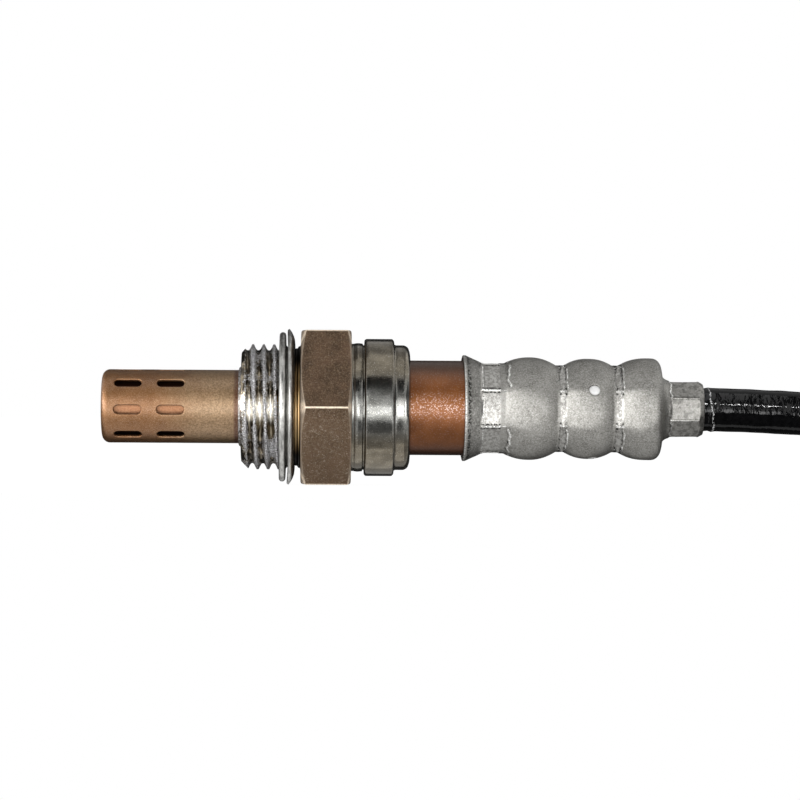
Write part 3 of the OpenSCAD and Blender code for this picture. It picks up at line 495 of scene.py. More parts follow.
def nickel_surface():
    s = Surface("nickel_plate", metallic=1.0, coat_weight=0.3, coat_roughness=0.12)
    cloud = s.noise(0.5, detail=5, stretch=(1, 1.6, 1.6))
    speck = s.noise(4.2, detail=3, rough=0.7)
    dust = s.step(s.noise(7.5, detail=2), 0.6, 0.7, 0, 0.6)
    ring = s.noise(7, detail=2, stretch=(1, 0.02, 0.02))
    height = s.off_axis()
    # Painted reflection: warmer tones above and below the middle height, a neutral tone in the middle
    warm_reflection = s.tones(cloud, 0.3, 0.7, (100, 93, 80), (126, 118, 103))
    neutral_middle = s.tones(cloud, 0.3, 0.7, (102, 102, 98), (124, 124, 121))
    base = s.tones(height, 5.5, 2.5, warm_reflection, neutral_middle)
    # Painted highlight: the buckled skirt and the rolled shoulder are painted brighter in the middle height
    # than the band
    x = s.axis("X")
    rolled = s.calc("MAXIMUM", s.step(x, SKIRT_END_X + 0.15, SKIRT_END_X - 0.15, 0, 0.3),
                    s.step(x, BAND_END_X + 0.02, BAND_END_X + 0.42, 0, 0.6))
    base = s.mix(s.times(rolled, s.step(height, 1.9, 0.6)), base, (206, 205, 200))
    return s.finish(s.mix(dust, base, (190, 187, 180)), s.step(speck, 0.35, 0.7, 0.12, 0.24),
                    (ring, 0.004), (speck, 0.01))


def neck_surface():
    s = Surface("turned_neck", metallic=1.0, roughness=0.28)
    ring = s.noise(2.4, detail=3, stretch=(1, 0.02, 0.02))
    bright = s.tones(ring, 0.42, 0.6, (128, 96, 58), (252, 214, 156))
    # Painted shade: dark above and below the middle height
    return s.finish(s.tones(s.off_axis(), 2, 7, bright, (12, 9, 6)), None, (ring, 0.03))


def gasket_surface():
    s = Surface("gasket_zinc", metallic=1.0)
    streak = s.noise(3, detail=4, stretch=(1, 0.25, 0.25))
    pit = s.noise(5, detail=5, rough=0.8)
    base = s.tones(streak, 0.35, 0.65, (148, 147, 144), (196, 195, 191))
    return s.finish(s.tones(pit, 0.55, 0.66, base, (66, 64, 62)), s.step(pit, 0.3, 0.7, 0.24, 0.4),
                    (pit, 0.025), (streak, 0.015))


def rear_tube_surface():
    s = Surface("heat_tinted_rear_tube", metallic=1.0, coat_weight=0.45, coat_roughness=0.26)
    grain = s.noise(6, detail=4, rough=0.8)
    glint_specks = s.step(s.noise(7, detail=2), 0.56, 0.68)
    rise = s.axis("Z")
    base = s.tones(s.noise(0.3, detail=4), 0.3, 0.7, (120, 71, 36), (138, 85, 46))
    # Painted shade: darker and greyer towards the top and the bottom
    base = s.tones(rise, 3, 6.6, base, (92, 68, 55))
    base = s.tones(rise, -4.6, -6.8, base, (92, 54, 34))
    # Painted highlight: pale glints in a band along the middle height
    highlight_band = s.step(s.off_axis(0.2), 2.4, 0.6, 0.12, 0.78)
    return s.finish(s.mix(s.times(glint_specks, highlight_band), base, (240, 220, 210)),
                    s.step(grain, 0.3, 0.7, 0.38, 0.5), (grain, 0.014))


def cover_surface():
    """Blasted steel, polished where it was pressed, with painted highlights and painted shade along the
    crimps and at the mouth
    """
    s = Surface("blasted_cover", metallic=1.0)
    grain = s.noise(5, detail=4, rough=0.75)
    coarse = s.noise(2.2, detail=4, rough=0.7)
    pressed = s.attribute("pressed")
    light_and_shade = s.attribute("light_and_shade")
    base = s.tones(s.noise(0.45, detail=5), 0.3, 0.7, (128, 126, 121), (150, 148, 143))
    base = s.tones(grain, 0.4, 0.68, base, (178, 177, 173))
    pit = s.step(s.noise(3.4, detail=3, rough=0.7, shift=(3, 9, 1)), 0.52, 0.68, 0, 0.6)
    base = s.mix(pit, base, (90, 88, 85))
    base = s.mix(pressed, base, s.tones(coarse, 0.4, 0.6, (138, 136, 132), (174, 173, 169)))
    rear = s.step(s.axis("X"), COVER_END_X + 0.6, COVER_END_X + 1.4, 0, 0.55)
    smudge = s.step(s.noise(1.3, detail=5, shift=(5, 5, 5)), 0.46, 0.62)
    base = s.mix(s.times(smudge, rear), base, (84, 83, 80))
    broken = s.step(s.noise(3.8, detail=3, shift=(7, 3, 5)), 0.4, 0.56, 0.15, 1)
    # Painted shade in creases, beside ridges and on the flare
    base = s.mix(s.times(s.step(light_and_shade, -0.15, -0.6), broken), base, (34, 34, 32))
    ragged = s.step(s.noise(4.5, detail=3, rough=0.7, stretch=(1, 1.4, 1.4)), 0.44, 0.54)
    # Painted highlights on ridges, burrs and the mouth's rim
    base = s.mix(s.times(s.step(light_and_shade, 0.2, 0.6), ragged), base, (255, 255, 252))
    blasted = s.step(pressed, 0, 1, 1, 0.3)
    return s.finish(base, s.step(pressed, 0, 1, 0.48, 0.27), (s.times(grain, blasted), 0.038),
                    (s.times(s.noise(1.1, detail=3), blasted), 0.04))


def plain_surface(name, light, dark, scale, rough, metallic=0.0, depth=0.01):
    """Two tones in a fine noise, for pieces that show little or nothing"""
    s = Surface(name, metallic=metallic)
    grain = s.noise(scale, detail=4, rough=0.65)
    return s.finish(s.tones(grain, 0.35, 0.65, dark, light),
                    s.step(grain, 0.3, 0.7, rough - 0.06, rough + 0.08), (grain, depth))


def sleeve_surface():
    s = Surface("glossy_sleeve", specular_ior_level=0.37)
    fine = s.noise(1.6, detail=3)
    dash = s.noise(1.5, detail=2, stretch=(1.2, 0.8, 0.8), distortion=0.4)
    body = s.tones(fine, 0.3, 0.7, (6, 6, 7), (15, 15, 16))
    # The first fold behind the crimp has a painted highlight
    fold_x = s.calc("MULTIPLY_ADD", s.axis("Z"), -0.11, LEAD_EXIT_X + 0.7)
    fold_x = s.calc("MULTIPLY_ADD", s.noise(1.1, detail=3), 0.9, fold_x)
    away = s.calc("ABSOLUTE", s.calc("SUBTRACT", s.axis("X"), fold_x))
    fold_highlight = s.times(s.step(away, 0.16, 0.04), s.step(s.noise(3.5, detail=3), 0.42, 0.55))
    return s.finish(s.mix(fold_highlight, body, (220, 220, 220)), s.step(fine, 0.3, 0.7, 0.03, 0.07),
                    (dash, 0.035), (fine, 0.008))


def tape_surface():
    s = Surface("harness_tape")
    threads = [
        s.add("ShaderNodeTexWave", {"Vector": s.place(), "Scale": 1.6, "Distortion": 0.4},
              bands_direction=way).outputs[1]
        for way in "XZ"
    ]
    weave = s.times(*threads)
    fuzz = s.noise(6, detail=3)
    return s.finish(s.tones(s.calc("ADD", weave, fuzz), 0.4, 1.3, (20, 20, 22), (52, 52, 55)),
                    s.step(fuzz, 0.3, 0.7, 0.72, 0.9), (weave, 0.05), (fuzz, 0.03))


# Pieces of the sensor
def slot_outline():
    """Points round a slot as (middle of the end's arc, way out, distance to its cell's rectangle)"""
    half_flat = (SLOT_LEN - SLOT_W) / 2
    half_arc = math.pi / SLOT_COUNT * TUBE_R
    side = SLOT_CELL / 2 - half_flat
    corner = math.atan2(half_arc, side)
    turns = [corner * i / 5 for i in range(6)]
    turns += [corner + (math.pi / 2 - corner) * i / 4 for i in range(1, 5)]
    quarter = []
    for turn in turns:
        reach = min(side / max(math.cos(turn), 1e-6), half_arc / max(math.sin(turn), 1e-6))
        quarter.append((half_flat, math.cos(turn), math.sin(turn), reach))
    quarter += [(half_flat * (1 - i / 4), 0, 1, half_arc) for i in range(1, 5)]
    upper = quarter + [(-c, -along, across, reach) for c, along, across, reach in quarter[-2::-1]]
    return upper + [(c, along, -across, reach) for c, along, across, reach in upper[-2:0:-1]]


def slotted_tube(surface):
    """Outer protection tube: each slot is a cell of rings that run from its rim out to a rectangle"""
    outline = slot_outline()
    inner_r = TUBE_R - TUBE_WALL
    near = 4 * SLOT_ROUND
    rings = [(SLOT_ROUND * share, 0) for share in (0, 0.25, 0.5, 0.75, 1, 2, 4)]
    rings += [(near, share / 3) for share in (1, 2, 3)]
    points = []
    faces = []

    def join(start, quads):
        faces.extend(tuple(start + v for v in quad) for quad in quads)

    def outer_r(d):
        """Radius of the tube at d from a slot, where its edge is rounded"""
        inwards = max(0, SLOT_ROUND - d)
        return TUBE_R - SLOT_ROUND + math.sqrt(SLOT_ROUND ** 2 - inwards ** 2)

    def cell(row_x, angle, r_of, inside):
        start = len(points)
        for edge, share in rings:
            for middle, along, across, reach in outline:
                room = reach - SLOT_W / 2
                d = min(edge + (room - near) * share, room)
                x = row_x + middle + along * (SLOT_W / 2 + d)
                a = math.radians(angle) + across * (SLOT_W / 2 + d) / TUBE_R
                points.append((x, -r_of(d) * math.cos(a), -r_of(d) * math.sin(a)))
        quads = grid_faces(len(rings), len(outline), False)
        join(start, [quad[::-1] for quad in quads] if inside else quads)
        return start

    slot_angles = [SLOT_TURN + 360 * k / SLOT_COUNT for k in range(SLOT_COUNT)]
    for row_x in SLOT_ROWS:
        for angle in slot_angles:
            outer = cell(row_x, angle, outer_r, False)
            inner = cell(row_x, angle, lambda d: inner_r, True)
            for j in range(len(outline)):
                k = (j + 1) % len(outline)
                faces.append((inner + j, inner + k, outer + k, outer + j))

    # Between the cells the columns meet the points on the short sides of their rectangles
    end_x = SLOT_CELL / 2
    side = sorted({round(across * reach, 6) for middle, along, across, reach in outline
                   if abs(abs(middle) + abs(along) * reach - end_x) < 1e-6})
    columns = np.array([angle + math.degrees(s / TUBE_R) for angle in slot_angles for s in side[:-1]])

    def strip(rows):
        x, r = (np.array([np.full(len(columns), row[c]) for row in rows], float) for c in (0, 1))
        start = len(points)
        points.extend(map(tuple, around_axis(x, r, columns).reshape(-1, 3)))
        join(start, grid_faces(len(rows), len(columns), False))

    front, rear = SLOT_ROWS[0] - end_x, SLOT_ROWS[1] + end_x
    between = SLOT_ROWS[0] + end_x, SLOT_ROWS[1] - end_x
    tip = [(TIP_X, r) for r in (0.02, 1.4, 2.8, 3.8)]
    for turn in map(math.radians, range(90, -1, -9)):
        tip.append((TIP_X + TIP_CORNER * (1 - math.sin(turn)), TUBE_R - TIP_CORNER * (1 - math.cos(turn))))
    strip(spread(tip + [(front, TUBE_R)], 0.5))
    strip([(x, TUBE_R) for x in between])
    strip([(x, inner_r) for x in between])
    strip(spread([(rear, TUBE_R), (LEDGE_X, TUBE_R), (LEDGE_X, inner_r), (rear, inner_r)], 0.5))
    end_wall_x = TIP_X + TUBE_WALL
    strip(spread([(front, inner_r), (TIP_X + TIP_CORNER, inner_r), (end_wall_x + 0.1, 4.2),
                  (end_wall_x, 3.6), (end_wall_x, 0.02)], 0.6))
    piece = make_object("protection_tube", points, faces, [surface])
    with edited(piece.data) as work:
        bmesh.ops.remove_doubles(work, verts=work.verts, dist=SAME_POINT * MM)
        bmesh.ops.holes_fill(work, edges=[edge for edge in work.edges if edge.is_boundary], sides=0)
        bmesh.ops.recalc_face_normals(work, faces=work.faces)
        for face in work.faces:
            face.smooth = True
    finish_piece(piece, "tube_steel", "outer_protection_tube")


def hexagon_radius(angles):
    """Radius of the hexagon with slightly rounded corners"""
    to_corner = np.radians(np.abs((np.asarray(angles) + 30) % 60 - 30))
    centre = (HEX_APOTHEM - HEX_ROUND) / math.cos(math.radians(30))
    half = math.atan2(HEX_ROUND / 2, centre + HEX_ROUND * math.cos(math.radians(30)))
    flat = HEX_APOTHEM / np.cos(math.radians(30) - to_corner)
    inside = np.clip(HEX_ROUND ** 2 - (centre * np.sin(to_corner)) ** 2, 0, None)
    return np.where(to_corner < half, centre * np.cos(to_corner) + np.sqrt(inside), flat)


def thread_radius(x, angles):
    """Right-hand thread with flat crests, 60 degree flanks and a rounded root"""
    crest_x = THREAD_TOP_X + THREAD_PITCH * (np.asarray(angles) + 90) / 360
    away = np.abs((x - crest_x + THREAD_PITCH / 2) % THREAD_PITCH - THREAD_PITCH / 2)
    drop = np.clip((away - THREAD_CREST_W / 2) * math.tan(math.radians(60)), 0, None)
    drop = THREAD_DEPTH * (1 - np.exp(-((drop / THREAD_DEPTH) ** 3) * 2.2)) ** (1 / 3)
    return THREAD_R - drop


def lay_paste(zone):
    """Paste left in the thread: how much at each point of the zone, and the zone raised by it"""
    radius = np.hypot(zone[:, 1], zone[:, 2])
    patchy = lumps(zone * (1, 0.55, 0.55), 0.55, 3.1) + 0.5 * lumps(zone, 1.7, 8.2)
    patch = np.exp(-(((zone - PASTE_PATCH) / PASTE_PATCH_SIZE) ** 2).sum(1))
    deep = (THREAD_R - radius) / THREAD_DEPTH
    off_axis = np.abs(zone[:, 2]) / THREAD_R
    paste = np.clip(0.74 + 0.6 * patchy - 0.6 * deep + 0.12 * off_axis + 1.3 * patch, 0, 1)
    lift = 0.1 * paste * (0.6 + lumps(zone, 4.2, 5.5)) + 0.5 * patch * deep * THREAD_DEPTH
    lift += 0.035 * lumps(zone, 3.1, 1.7)
    fade = smoothstep(zone[:, 0], THREAD_FRONT_X, THREAD_FRONT_X + 0.3)
    scale = np.minimum(radius + lift * fade, THREAD_R + 0.06) / radius
    return paste, zone * np.stack([np.ones(len(zone)), scale, scale], axis=1)


def threaded_shell(surfaces):
    """Thread, neck, hexagon, skirt, raised band and rolled shoulder, turned from one piece"""
    angles = angles_with(360, range(0, 360, 60), (-0.65, -0.5, -0.33, -0.16, 0.16, 0.33, 0.5, 0.65))
    lip_x = THREAD_FRONT_X - LIP_PROUD
    thread_end_r = THREAD_R - THREAD_CHAMFER
    rows = rounded([
        (LEDGE_X, TUBE_R + 0.05, 0), (lip_x, TUBE_R + 0.05, 0), (lip_x, TUBE_R + 0.28, 0.1),
        (THREAD_FRONT_X, TUBE_R + 0.6, 0.12), (THREAD_FRONT_X, thread_end_r - 0.05, 0),
    ])
    thread_start = len(rows)
    for x in np.arange(THREAD_FRONT_X, THREAD_END_X, THREAD_STEP):
        rows.append((x, np.minimum(thread_radius(x, angles), thread_end_r + (x - THREAD_FRONT_X))))
    thread_end = len(rows)
    rows += spread(rounded([
        (0.5, UNDERCUT_R, 0),
        *knots_from(UNDERCUT_END_X, UNDERCUT_R, (0.15, 0, 0), (0.3, 0.3, 0.05), (0.6, 0.32, 0.05)),
        *knots_from(HEX_X, THREAD_R, (-0.35, -0.2, 0.05), (-0.15, -0.18, 0.05), (0, 0.15, 0.1)),
    ]), 0.25)
    neck_end = len(rows)
    # The chamfers are cones, so the flats end in arcs
    hex_r = hexagon_radius(angles)
    share = (hex_r - HEX_FACE_R) / (HEX_CORNER_R - HEX_FACE_R)
    flat_x, flat_end_x = HEX_X + share * HEX_FRONT_CHAMFER, HEX_END_X - share * HEX_REAR_CHAMFER
    rows += spread(rounded([
        (HEX_X, THREAD_R + 0.3, 0), (HEX_X, HEX_FACE_R, 0.12), (flat_x, hex_r, 0.14),
        (flat_end_x, hex_r, 0.14), (HEX_END_X, HEX_FACE_R, 0.12), (HEX_END_X, SKIRT_R + 0.25, 0),
    ]), 0.45)
    hex_end = len(rows)
    rows += spread(rounded([
        *knots_from(HEX_END_X, SKIRT_R, (0.02, -0.02, 0), (0.3, -0.03, 0.15), (0.85, 0.08, 0.3)),
        *knots_from(SKIRT_END_X, SKIRT_R, (-0.25, 0, 0.1), (-0.2, -0.22, 0.04), (-0.03, -0.22, 0.04)),
        *knots_from(SKIRT_END_X, BAND_R, (0, -0.22, 0.06), (0.22, 0, 0.12)),
        *knots_from(BAND_END_X, BAND_R, (-0.24, 0, 0.12), (0, -0.3, 0.1)),
        *knots_from(BAND_END_X, SHOULDER_R, (0.04, 0.12, 0.05), (0.25, 0, 0.12)),
        *knots_from(SHELL_END_X, SHOULDER_R, (-0.75, 0, 0.3), (-0.25, -0.35, 0.2)),
        *knots_from(SHELL_END_X, REAR_TUBE_R, (0, 1.05, 0.25), (0, 0.3, 0.1), (-0.15, 0.05, 0)),
    ]), 0.5)
    rows += [
        (CLOSING_LIP_X, REAR_TUBE_R + 0.05), (CLOSING_LIP_X, REAR_BORE_R),
        (FRONT_BORE_END_X, REAR_BORE_R), (FRONT_BORE_END_X, FRONT_BORE_R), (LEDGE_X, FRONT_BORE_R),
    ]
    piece = turned_mesh("threaded_shell", rows, angles, surfaces)
    count = len(angles)
    points = mesh_points(piece)
    first, last = thread_start * count, thread_end * count
    paste, points[first:last] = lay_paste(points[first:last])
    move_points(piece, points)
    add_mask(piece, "paste", first, paste, before=0.5)
    # Bright metal at the corners and edges of the hexagon: partly rubbed by wrenches, partly a painted
    # highlight along the rounded corners and the chamfers
    to_corner = np.abs((angles + 30) % 60 - 30)
    corner_line = 1 - smoothstep(to_corner, 0.4, 0.75)
    on_chamfer = 0.3 + 0.65 * (1 - smoothstep(to_corner, 1, 6))
    wear_and_highlight = []
    for x, r in rows[neck_end:hex_end]:
        near_edge = np.minimum(np.abs(x - flat_x), np.abs(x - flat_end_x))
        edge = (1 - smoothstep(near_edge, 0.03, 0.16)) * 0.13
        wear_and_highlight.append(np.where(np.abs(r - hex_r) < 0.03, np.maximum(corner_line, edge),
                             np.where(r > HEX_FACE_R, on_chamfer, 0.1)))
    add_mask(piece, "wear_and_highlight", neck_end * count, np.ravel(wear_and_highlight))
    zones = np.full(len(rows), 3)
    zones[:thread_end] = 0
    zones[thread_end - 1:neck_end] = 1
    zones[neck_end:hex_end] = 2
    piece.data.polygons.foreach_set("material_index", np.repeat(zones, count))
    finish_piece(piece, "shell_nickel", "housing")


def crush_gasket(surface):
    """One strip folded twice: a rounded fold in front, and a dished leaf with a free rim behind"""
    half = GASKET_SHEET / 2
    front_r = GASKET_FOLD_R - GASKET_FRONT_W / 2
    bend = (GASKET_REAR_X - GASKET_FRONT_W + GASKET_SHEET) / 2
    back_r = GASKET_INNER_R + bend
    leaf = GASKET_RIM_R - 0.1 - back_r

    def arc(r, x, radius, turns):
        return [(r + radius * math.cos(t), x + radius * math.sin(t)) for t in np.radians(turns)]

    line = [(THREAD_R + 0.1, half), (THREAD_R * 0.3 + front_r * 0.7, half)]
    line += arc(front_r, GASKET_FRONT_W / 2, GASKET_FRONT_W / 2 - half, range(-90, 91, 12))
    line += arc(back_r, GASKET_REAR_X - bend, bend - half, range(270, 89, -12))
    line += [(back_r + leaf * t, GASKET_REAR_X - half - 0.8 * t ** 2) for t in (0.25, 0.5, 0.75, 1)]
    line = np.array(line)
    way = np.gradient(line, axis=0)
    way /= np.linalg.norm(way, axis=1)[:, None]
    side = np.stack([-way[:, 1], way[:, 0]], axis=1) * half
    ends = line[-1] + way[-1] * 0.06, line[0] - way[0] * 0.06
    outline = [*(line + side), ends[0], *(line - side)[::-1], ends[1]]
    # The rim waves a little and is bent back on the near side
    angles = angles_with(288)
    a = np.radians(angles)
    sway = 0.04 * np.sin(5 * a + 2.1) + 0.28 * smoothstep(np.cos(a), 0, 1)
    rows = []
    for r, x in outline[::-1]:
        free = smoothstep(r, 9, GASKET_RIM_R) * (1 if x > GASKET_FRONT_W else 0.5)
        rows.append((x + free * sway, r + free * 0.03 * np.sin(3 * a)))
    piece = turned_mesh("crush_washer", rows, angles, [surface])
    finish_piece(piece, "gasket_steel", "crush_gasket")


def from_ridge(angles):
    """Degrees to the nearest ridge between two jaw faces; one face looks at the camera"""
    return JAW_HALF - np.abs((np.asarray(angles) + JAW_HALF) % (2 * JAW_HALF) - JAW_HALF)


def octagon_radius(flat_r, angles, flatness, soft=0.0):
    """Radius where eight jaws pressed: flatness 0 is round and 1 is flat, and soft is how many
    degrees the ridges are rounded over"""
    to_face = JAW_HALF - np.hypot(from_ridge(angles), soft)
    return flat_r * (1 + flatness * (1 / np.cos(np.radians(to_face)) - 1))


def bulge_radius(x, top_x, top_r, front, rear):
    """Radius at x of a bulge that drops from its top by front or rear = (distance, drop)"""
    distance, drop = front if x < top_x else rear
    return top_r - drop * (abs(x - top_x) / distance) ** 2.2


def peak(value, centre, width):
    return np.exp(-((value - centre) / width) ** 2)


def ramp(x, middle, half):
    """Smooth rise from 0 to 1 over half before and half past the middle"""
    return smoothstep(x, middle - half, middle + half)


def cover_rows(angles):
    """Outer rows of the cover from its mouth to the end of the lead crimp, each with two masks:
    pressed is the polish left by the jaws, and the other is painted light: painted highlights on ridges,
    burrs and the mouth's rim (1), and painted shade in creases, beside ridges and on the flare (-1)"""
    def wave(turns, shift=0):
        return np.sin(np.radians(angles * turns + shift))

    rows, pressed, lights_and_shades = [], [], []
    none = np.zeros(len(angles))
    to_ridge = from_ridge(angles) * math.radians(CRIMP_R)
    wiggle = 0.12 * wave(11) + 0.1 * wave(23, 40)
    uneven = 0.75 + 0.35 * wave(17, 60) * wave(29)
    broken = 0.7 + 0.5 * wave(37, 10) * wave(13, 70)
    # Painted highlight along each ridge, with painted shade just beside it
    line = peak(to_ridge, 0, 0.1) - 1.1 * peak(to_ridge, 0.3, 0.1)
    bowed = 1 - 0.45 * (1 - to_ridge / math.radians(JAW_HALF) / CRIMP_R) ** 3
    # Painted highlights and shade of burrs show between the ridges, but not on the face that looks at the
    # camera
    between = smoothstep(to_ridge, 0.2, 0.5)
    near_face = np.abs((angles + JAW_HALF) % 360 - JAW_HALF) < 21
    burrs = between * ~near_face

    for x in np.arange(COVER_X, COVER_END_X - COVER_CORNER, COVER_STEP):
        shape = max(FLARE_R - FLARE_SLOPE * max(0, x - COVER_X - 0.3), NECK_R,
                    *(bulge_radius(x, *bulge) for bulge in BULGES))
        if x < CRIMP_END_X:
            shape = max(shape, CRIMP_R)
        crimp_end = ramp(x, JAW_END_X, 0.1)
        crisp = into_jaw = ramp(x, JAW_X - 0.025, 0.125) * (1 - crimp_end)
        faceted = 0.8 * into_jaw + 0.45 * (crimp_end - ramp(x, JAW_END_X + 4, 2))
        polish = into_jaw + 0.3 * (ramp(x, JAW_END_X + 0.05, 0.05) - ramp(x, CRIMP_END_X + 0.3, 0.3))
        light_and_shade = into_jaw * line + 0.7 * peak(x, JAW_END_X + 0.5, 0.45) * np.clip(line, 0, 1)
        light_and_shade += burrs * (1.2 * uneven * peak(x, CRIMP_END_X + 0.5 + wiggle, 0.15)
                         - 0.9 * broken * peak(x, CRIMP_END_X + 0.22 + wiggle, 0.11))
        light_and_shade += 0.7 * peak(x, JAW_X + 0.2, 0.1) * between * uneven
        # Painted highlight on the mouth's rim, a painted dark line behind it, and painted shade on the flare
        light_and_shade += 0.55 * peak(x, COVER_X + 0.06, 0.16) - 0.25 * peak(x, COVER_X + 0.55, 0.3)
        light_and_shade -= 0.33 * (ramp(x, COVER_X + 0.3, 0.1) - ramp(x, JAW_X - 0.1, 0.1))
        for start, end in NECK_MARK_X:
            middle, half = (start + end) / 2, (end - start) / 2
            low, high = middle - half * bowed, middle + half * bowed
            inside = ramp(x, low, 0.12) * (1 - ramp(x, high, 0.12))
            after = ramp(x, end, 0.1) - ramp(x, end + 4, 1.6)
            before = ramp(x, start - 0.3, 0.2) - ramp(x, start, 0.1)
            faceted = np.maximum(faceted, np.maximum(0.85 * inside, max(0.58 * after, 0.4 * before)))
            polish = np.maximum(polish, inside)
            crisp = np.maximum(crisp, inside)
            # A bowed ridge painted as a highlight, a painted dark spot at each side of it, and painted
            # highlights and shade of burrs along both edges
            reach = max(0.0, 1 - ((x - middle) / (half + 0.18)) ** 4)
            light_and_shade += reach * peak(to_ridge, 0, 0.09 + 0.12 * abs(x - middle) / half)
            light_and_shade -= 1.3 * peak(abs(x - middle), 0.38, 0.15) * peak(to_ridge, 0.38, 0.15)
            shift = 0.4 * wiggle
            light_and_shade += burrs * (1.1 * uneven * peak(x, high + 0.14 + shift, 0.1)
                             + 0.5 * uneven * peak(x, low - 0.25 + shift, 0.08)
                             - 0.95 * broken * peak(x, high - 0.08 + shift, 0.09)
                             - 0.85 * broken * peak(x, low - 0.05 + shift, 0.09))
        pinch = 0.07 * into_jaw * peak(to_ridge, 0, 0.12)
        radius = octagon_radius(shape - 0.05 * into_jaw, angles, faceted, 3 * (1 - crisp))
        rows.append((x, radius + pinch))
        pressed.append(polish + none)
        lights_and_shades.append(np.clip(light_and_shade, -1, 1))
    for turn in np.radians(range(9, 91, 9)):
        rows.append((COVER_END_X - COVER_CORNER * (1 - math.sin(turn)),
                     REAR_BULGE_R - COVER_CORNER * (1 - math.cos(turn)) + none))
        pressed.append(none)
        lights_and_shades.append(none)
    knots = rounded([
        (COVER_END_X, REAR_BULGE_R - COVER_CORNER - 0.1, 0),
        *knots_from(COVER_END_X, LEAD_CRIMP_R, (0, 1.1, 0.35), (0.7, 0.35, 0.5), (1.5, 0.12, 0.2)),
        *knots_from(LEAD_EXIT_X, LEAD_CRIMP_R, (-0.75, 0.12, 0.12), (-0.3, -0.12, 0.12)),
        (LEAD_EXIT_X, LEAD_BORE_R + 0.1, 0),
    ])
    for x, r in spread(knots, 0.16):
        into = ramp(x, COVER_END_X + 1.35, 0.15) * (1 - ramp(x, LEAD_EXIT_X - 0.7, 0.15))
        rows.append((x, r * (1 - into) + octagon_radius(LEAD_CRIMP_R, angles, 0.9) * into))
        pressed.append(0.45 * into + none)
        # Painted highlights and shade along the lead crimp
        lights_and_shades.append(0.75 * into * line * broken
                     + peak(x, COVER_END_X + 1.35 + 0.7 * wiggle, 0.12) * np.where(near_face, 0.4, 0.8)
                     - 0.6 * broken * peak(x, COVER_END_X + 1.1 + 0.7 * wiggle, 0.1))
    return rows, pressed, lights_and_shades


def outer_cover(surface):
    ridges = [JAW_HALF * turn for turn in range(1, 16, 2)]
    angles = angles_with(180, ridges, [0.8 * step for step in range(-6, 7)])
    rows, pressed, lights_and_shades = cover_rows(angles)
    outer = len(rows)
    # The mouth is not quite square to the axis
    lean = 0.13 * np.cos(np.radians(angles))
    rows = [(x + lean * (1 - smoothstep(x, COVER_X, JAW_X)), r) for x, r in rows]
    mouth_x, mouth_r = rows[0]
    end_wall_x = COVER_END_X - COVER_WALL
    inside = [(LEAD_EXIT_X - 0.1, LEAD_BORE_R), (end_wall_x, LEAD_BORE_R),
              (end_wall_x, REAR_BULGE_R - COVER_CORNER)]
    flanks = [row for row in rows if np.max(row[0]) < COVER_END_X - COVER_CORNER]
    inside += [(x, r - COVER_WALL) for x, r in flanks[::-4]]
    inside += [(mouth_x, mouth_r - COVER_WALL), (mouth_x - 0.1, mouth_r - COVER_WALL / 2 - 0.05),
               (mouth_x - 0.06, mouth_r - 0.08)]
    piece = turned_mesh("outer_cover_sleeve", rows + inside, angles, [surface])
    # Wrinkles in the metal next to the crimps, and a slight waviness all over
    points = mesh_points(piece)
    crimps = (CRIMP_END_X + 0.35, *np.ravel(NECK_MARK_X))
    beside = np.max([peak(points[:, 0], edge, 0.3) for edge in crimps], axis=0)
    wave = 0.04 * lumps(points, 0.35, 2.3) + 0.05 * beside * lumps(points * (0.6, 1, 1), 2.4, 7.7)
    wave[outer * len(angles):] = 0
    radius = np.hypot(points[:, 1], points[:, 2])
    points[:, 1:] *= ((radius + wave) / radius)[:, None]
    move_points(piece, points)
    add_mask(piece, "pressed", 0, np.ravel(pressed))
    add_mask(piece, "light_and_shade", 0, np.ravel(lights_and_shades))
    cut_vents(piece)
    finish_piece(piece, "cover_steel", "outer_cover")


# The way out through each vent hole
VENT_WAYS = [Vector((0, -math.cos(a), -math.sin(a))) for a in np.radians(VENT_ANGLES)]


def stand_on_vent(verts, way, radius, scale=(1, 1, 1)):
    """Turns points round the Z axis to a vent hole's axis, radius away from the sensor's"""
    turn = way.to_track_quat("Z", "Y")
    for vert in verts:
        vert.co = turn @ (vert.co * Vector(scale)) + way * radius * MM + Vector((VENT_X * MM, 0, 0))


def vent_filter(surface):
    """Sleeve of the vent filter, with a dome of it in each vent hole"""
    rows = spread([
        (NECKS[0] - 1.7, 5.2), (NECKS[0] - 1.7, 5.7), (NECKS[0] + 0.6, 5.7), (VENT_X - 2.2, 6.45),
        (VENT_X + 1.8, 6.45), (NECKS[1] - 0.6, 5.7), (NECKS[1] + 1.7, 5.7), (NECKS[1] + 1.7, 5.2),
    ], 0.8)
    piece = turned_mesh("vent_membrane", rows, angles_with(64), [surface])
    wide, high = (VENT_R - 0.02) * MM, (VENT_TOP_R - VENT_DOME_R) * MM
    with edited(piece.data) as work:
        for way in VENT_WAYS:
            made = bmesh.ops.create_uvsphere(work, u_segments=32, v_segments=16, radius=1.0)
            stand_on_vent(made["verts"], way, VENT_DOME_R, (wide, wide, high))
        for face in work.faces:
            face.smooth = True
    finish_piece(piece, "ptfe", "vent_filter")


def on_vent_wall(vert):
    """Whether a point lies on the wall of a vent hole"""
    away = vert.co / MM - Vector((VENT_X, 0, 0))
    for way in VENT_WAYS:
        rise = away.dot(way)
        if rise > 0 and abs((away - way * rise).length - VENT_R) < SLIVER:
            return True
    return False


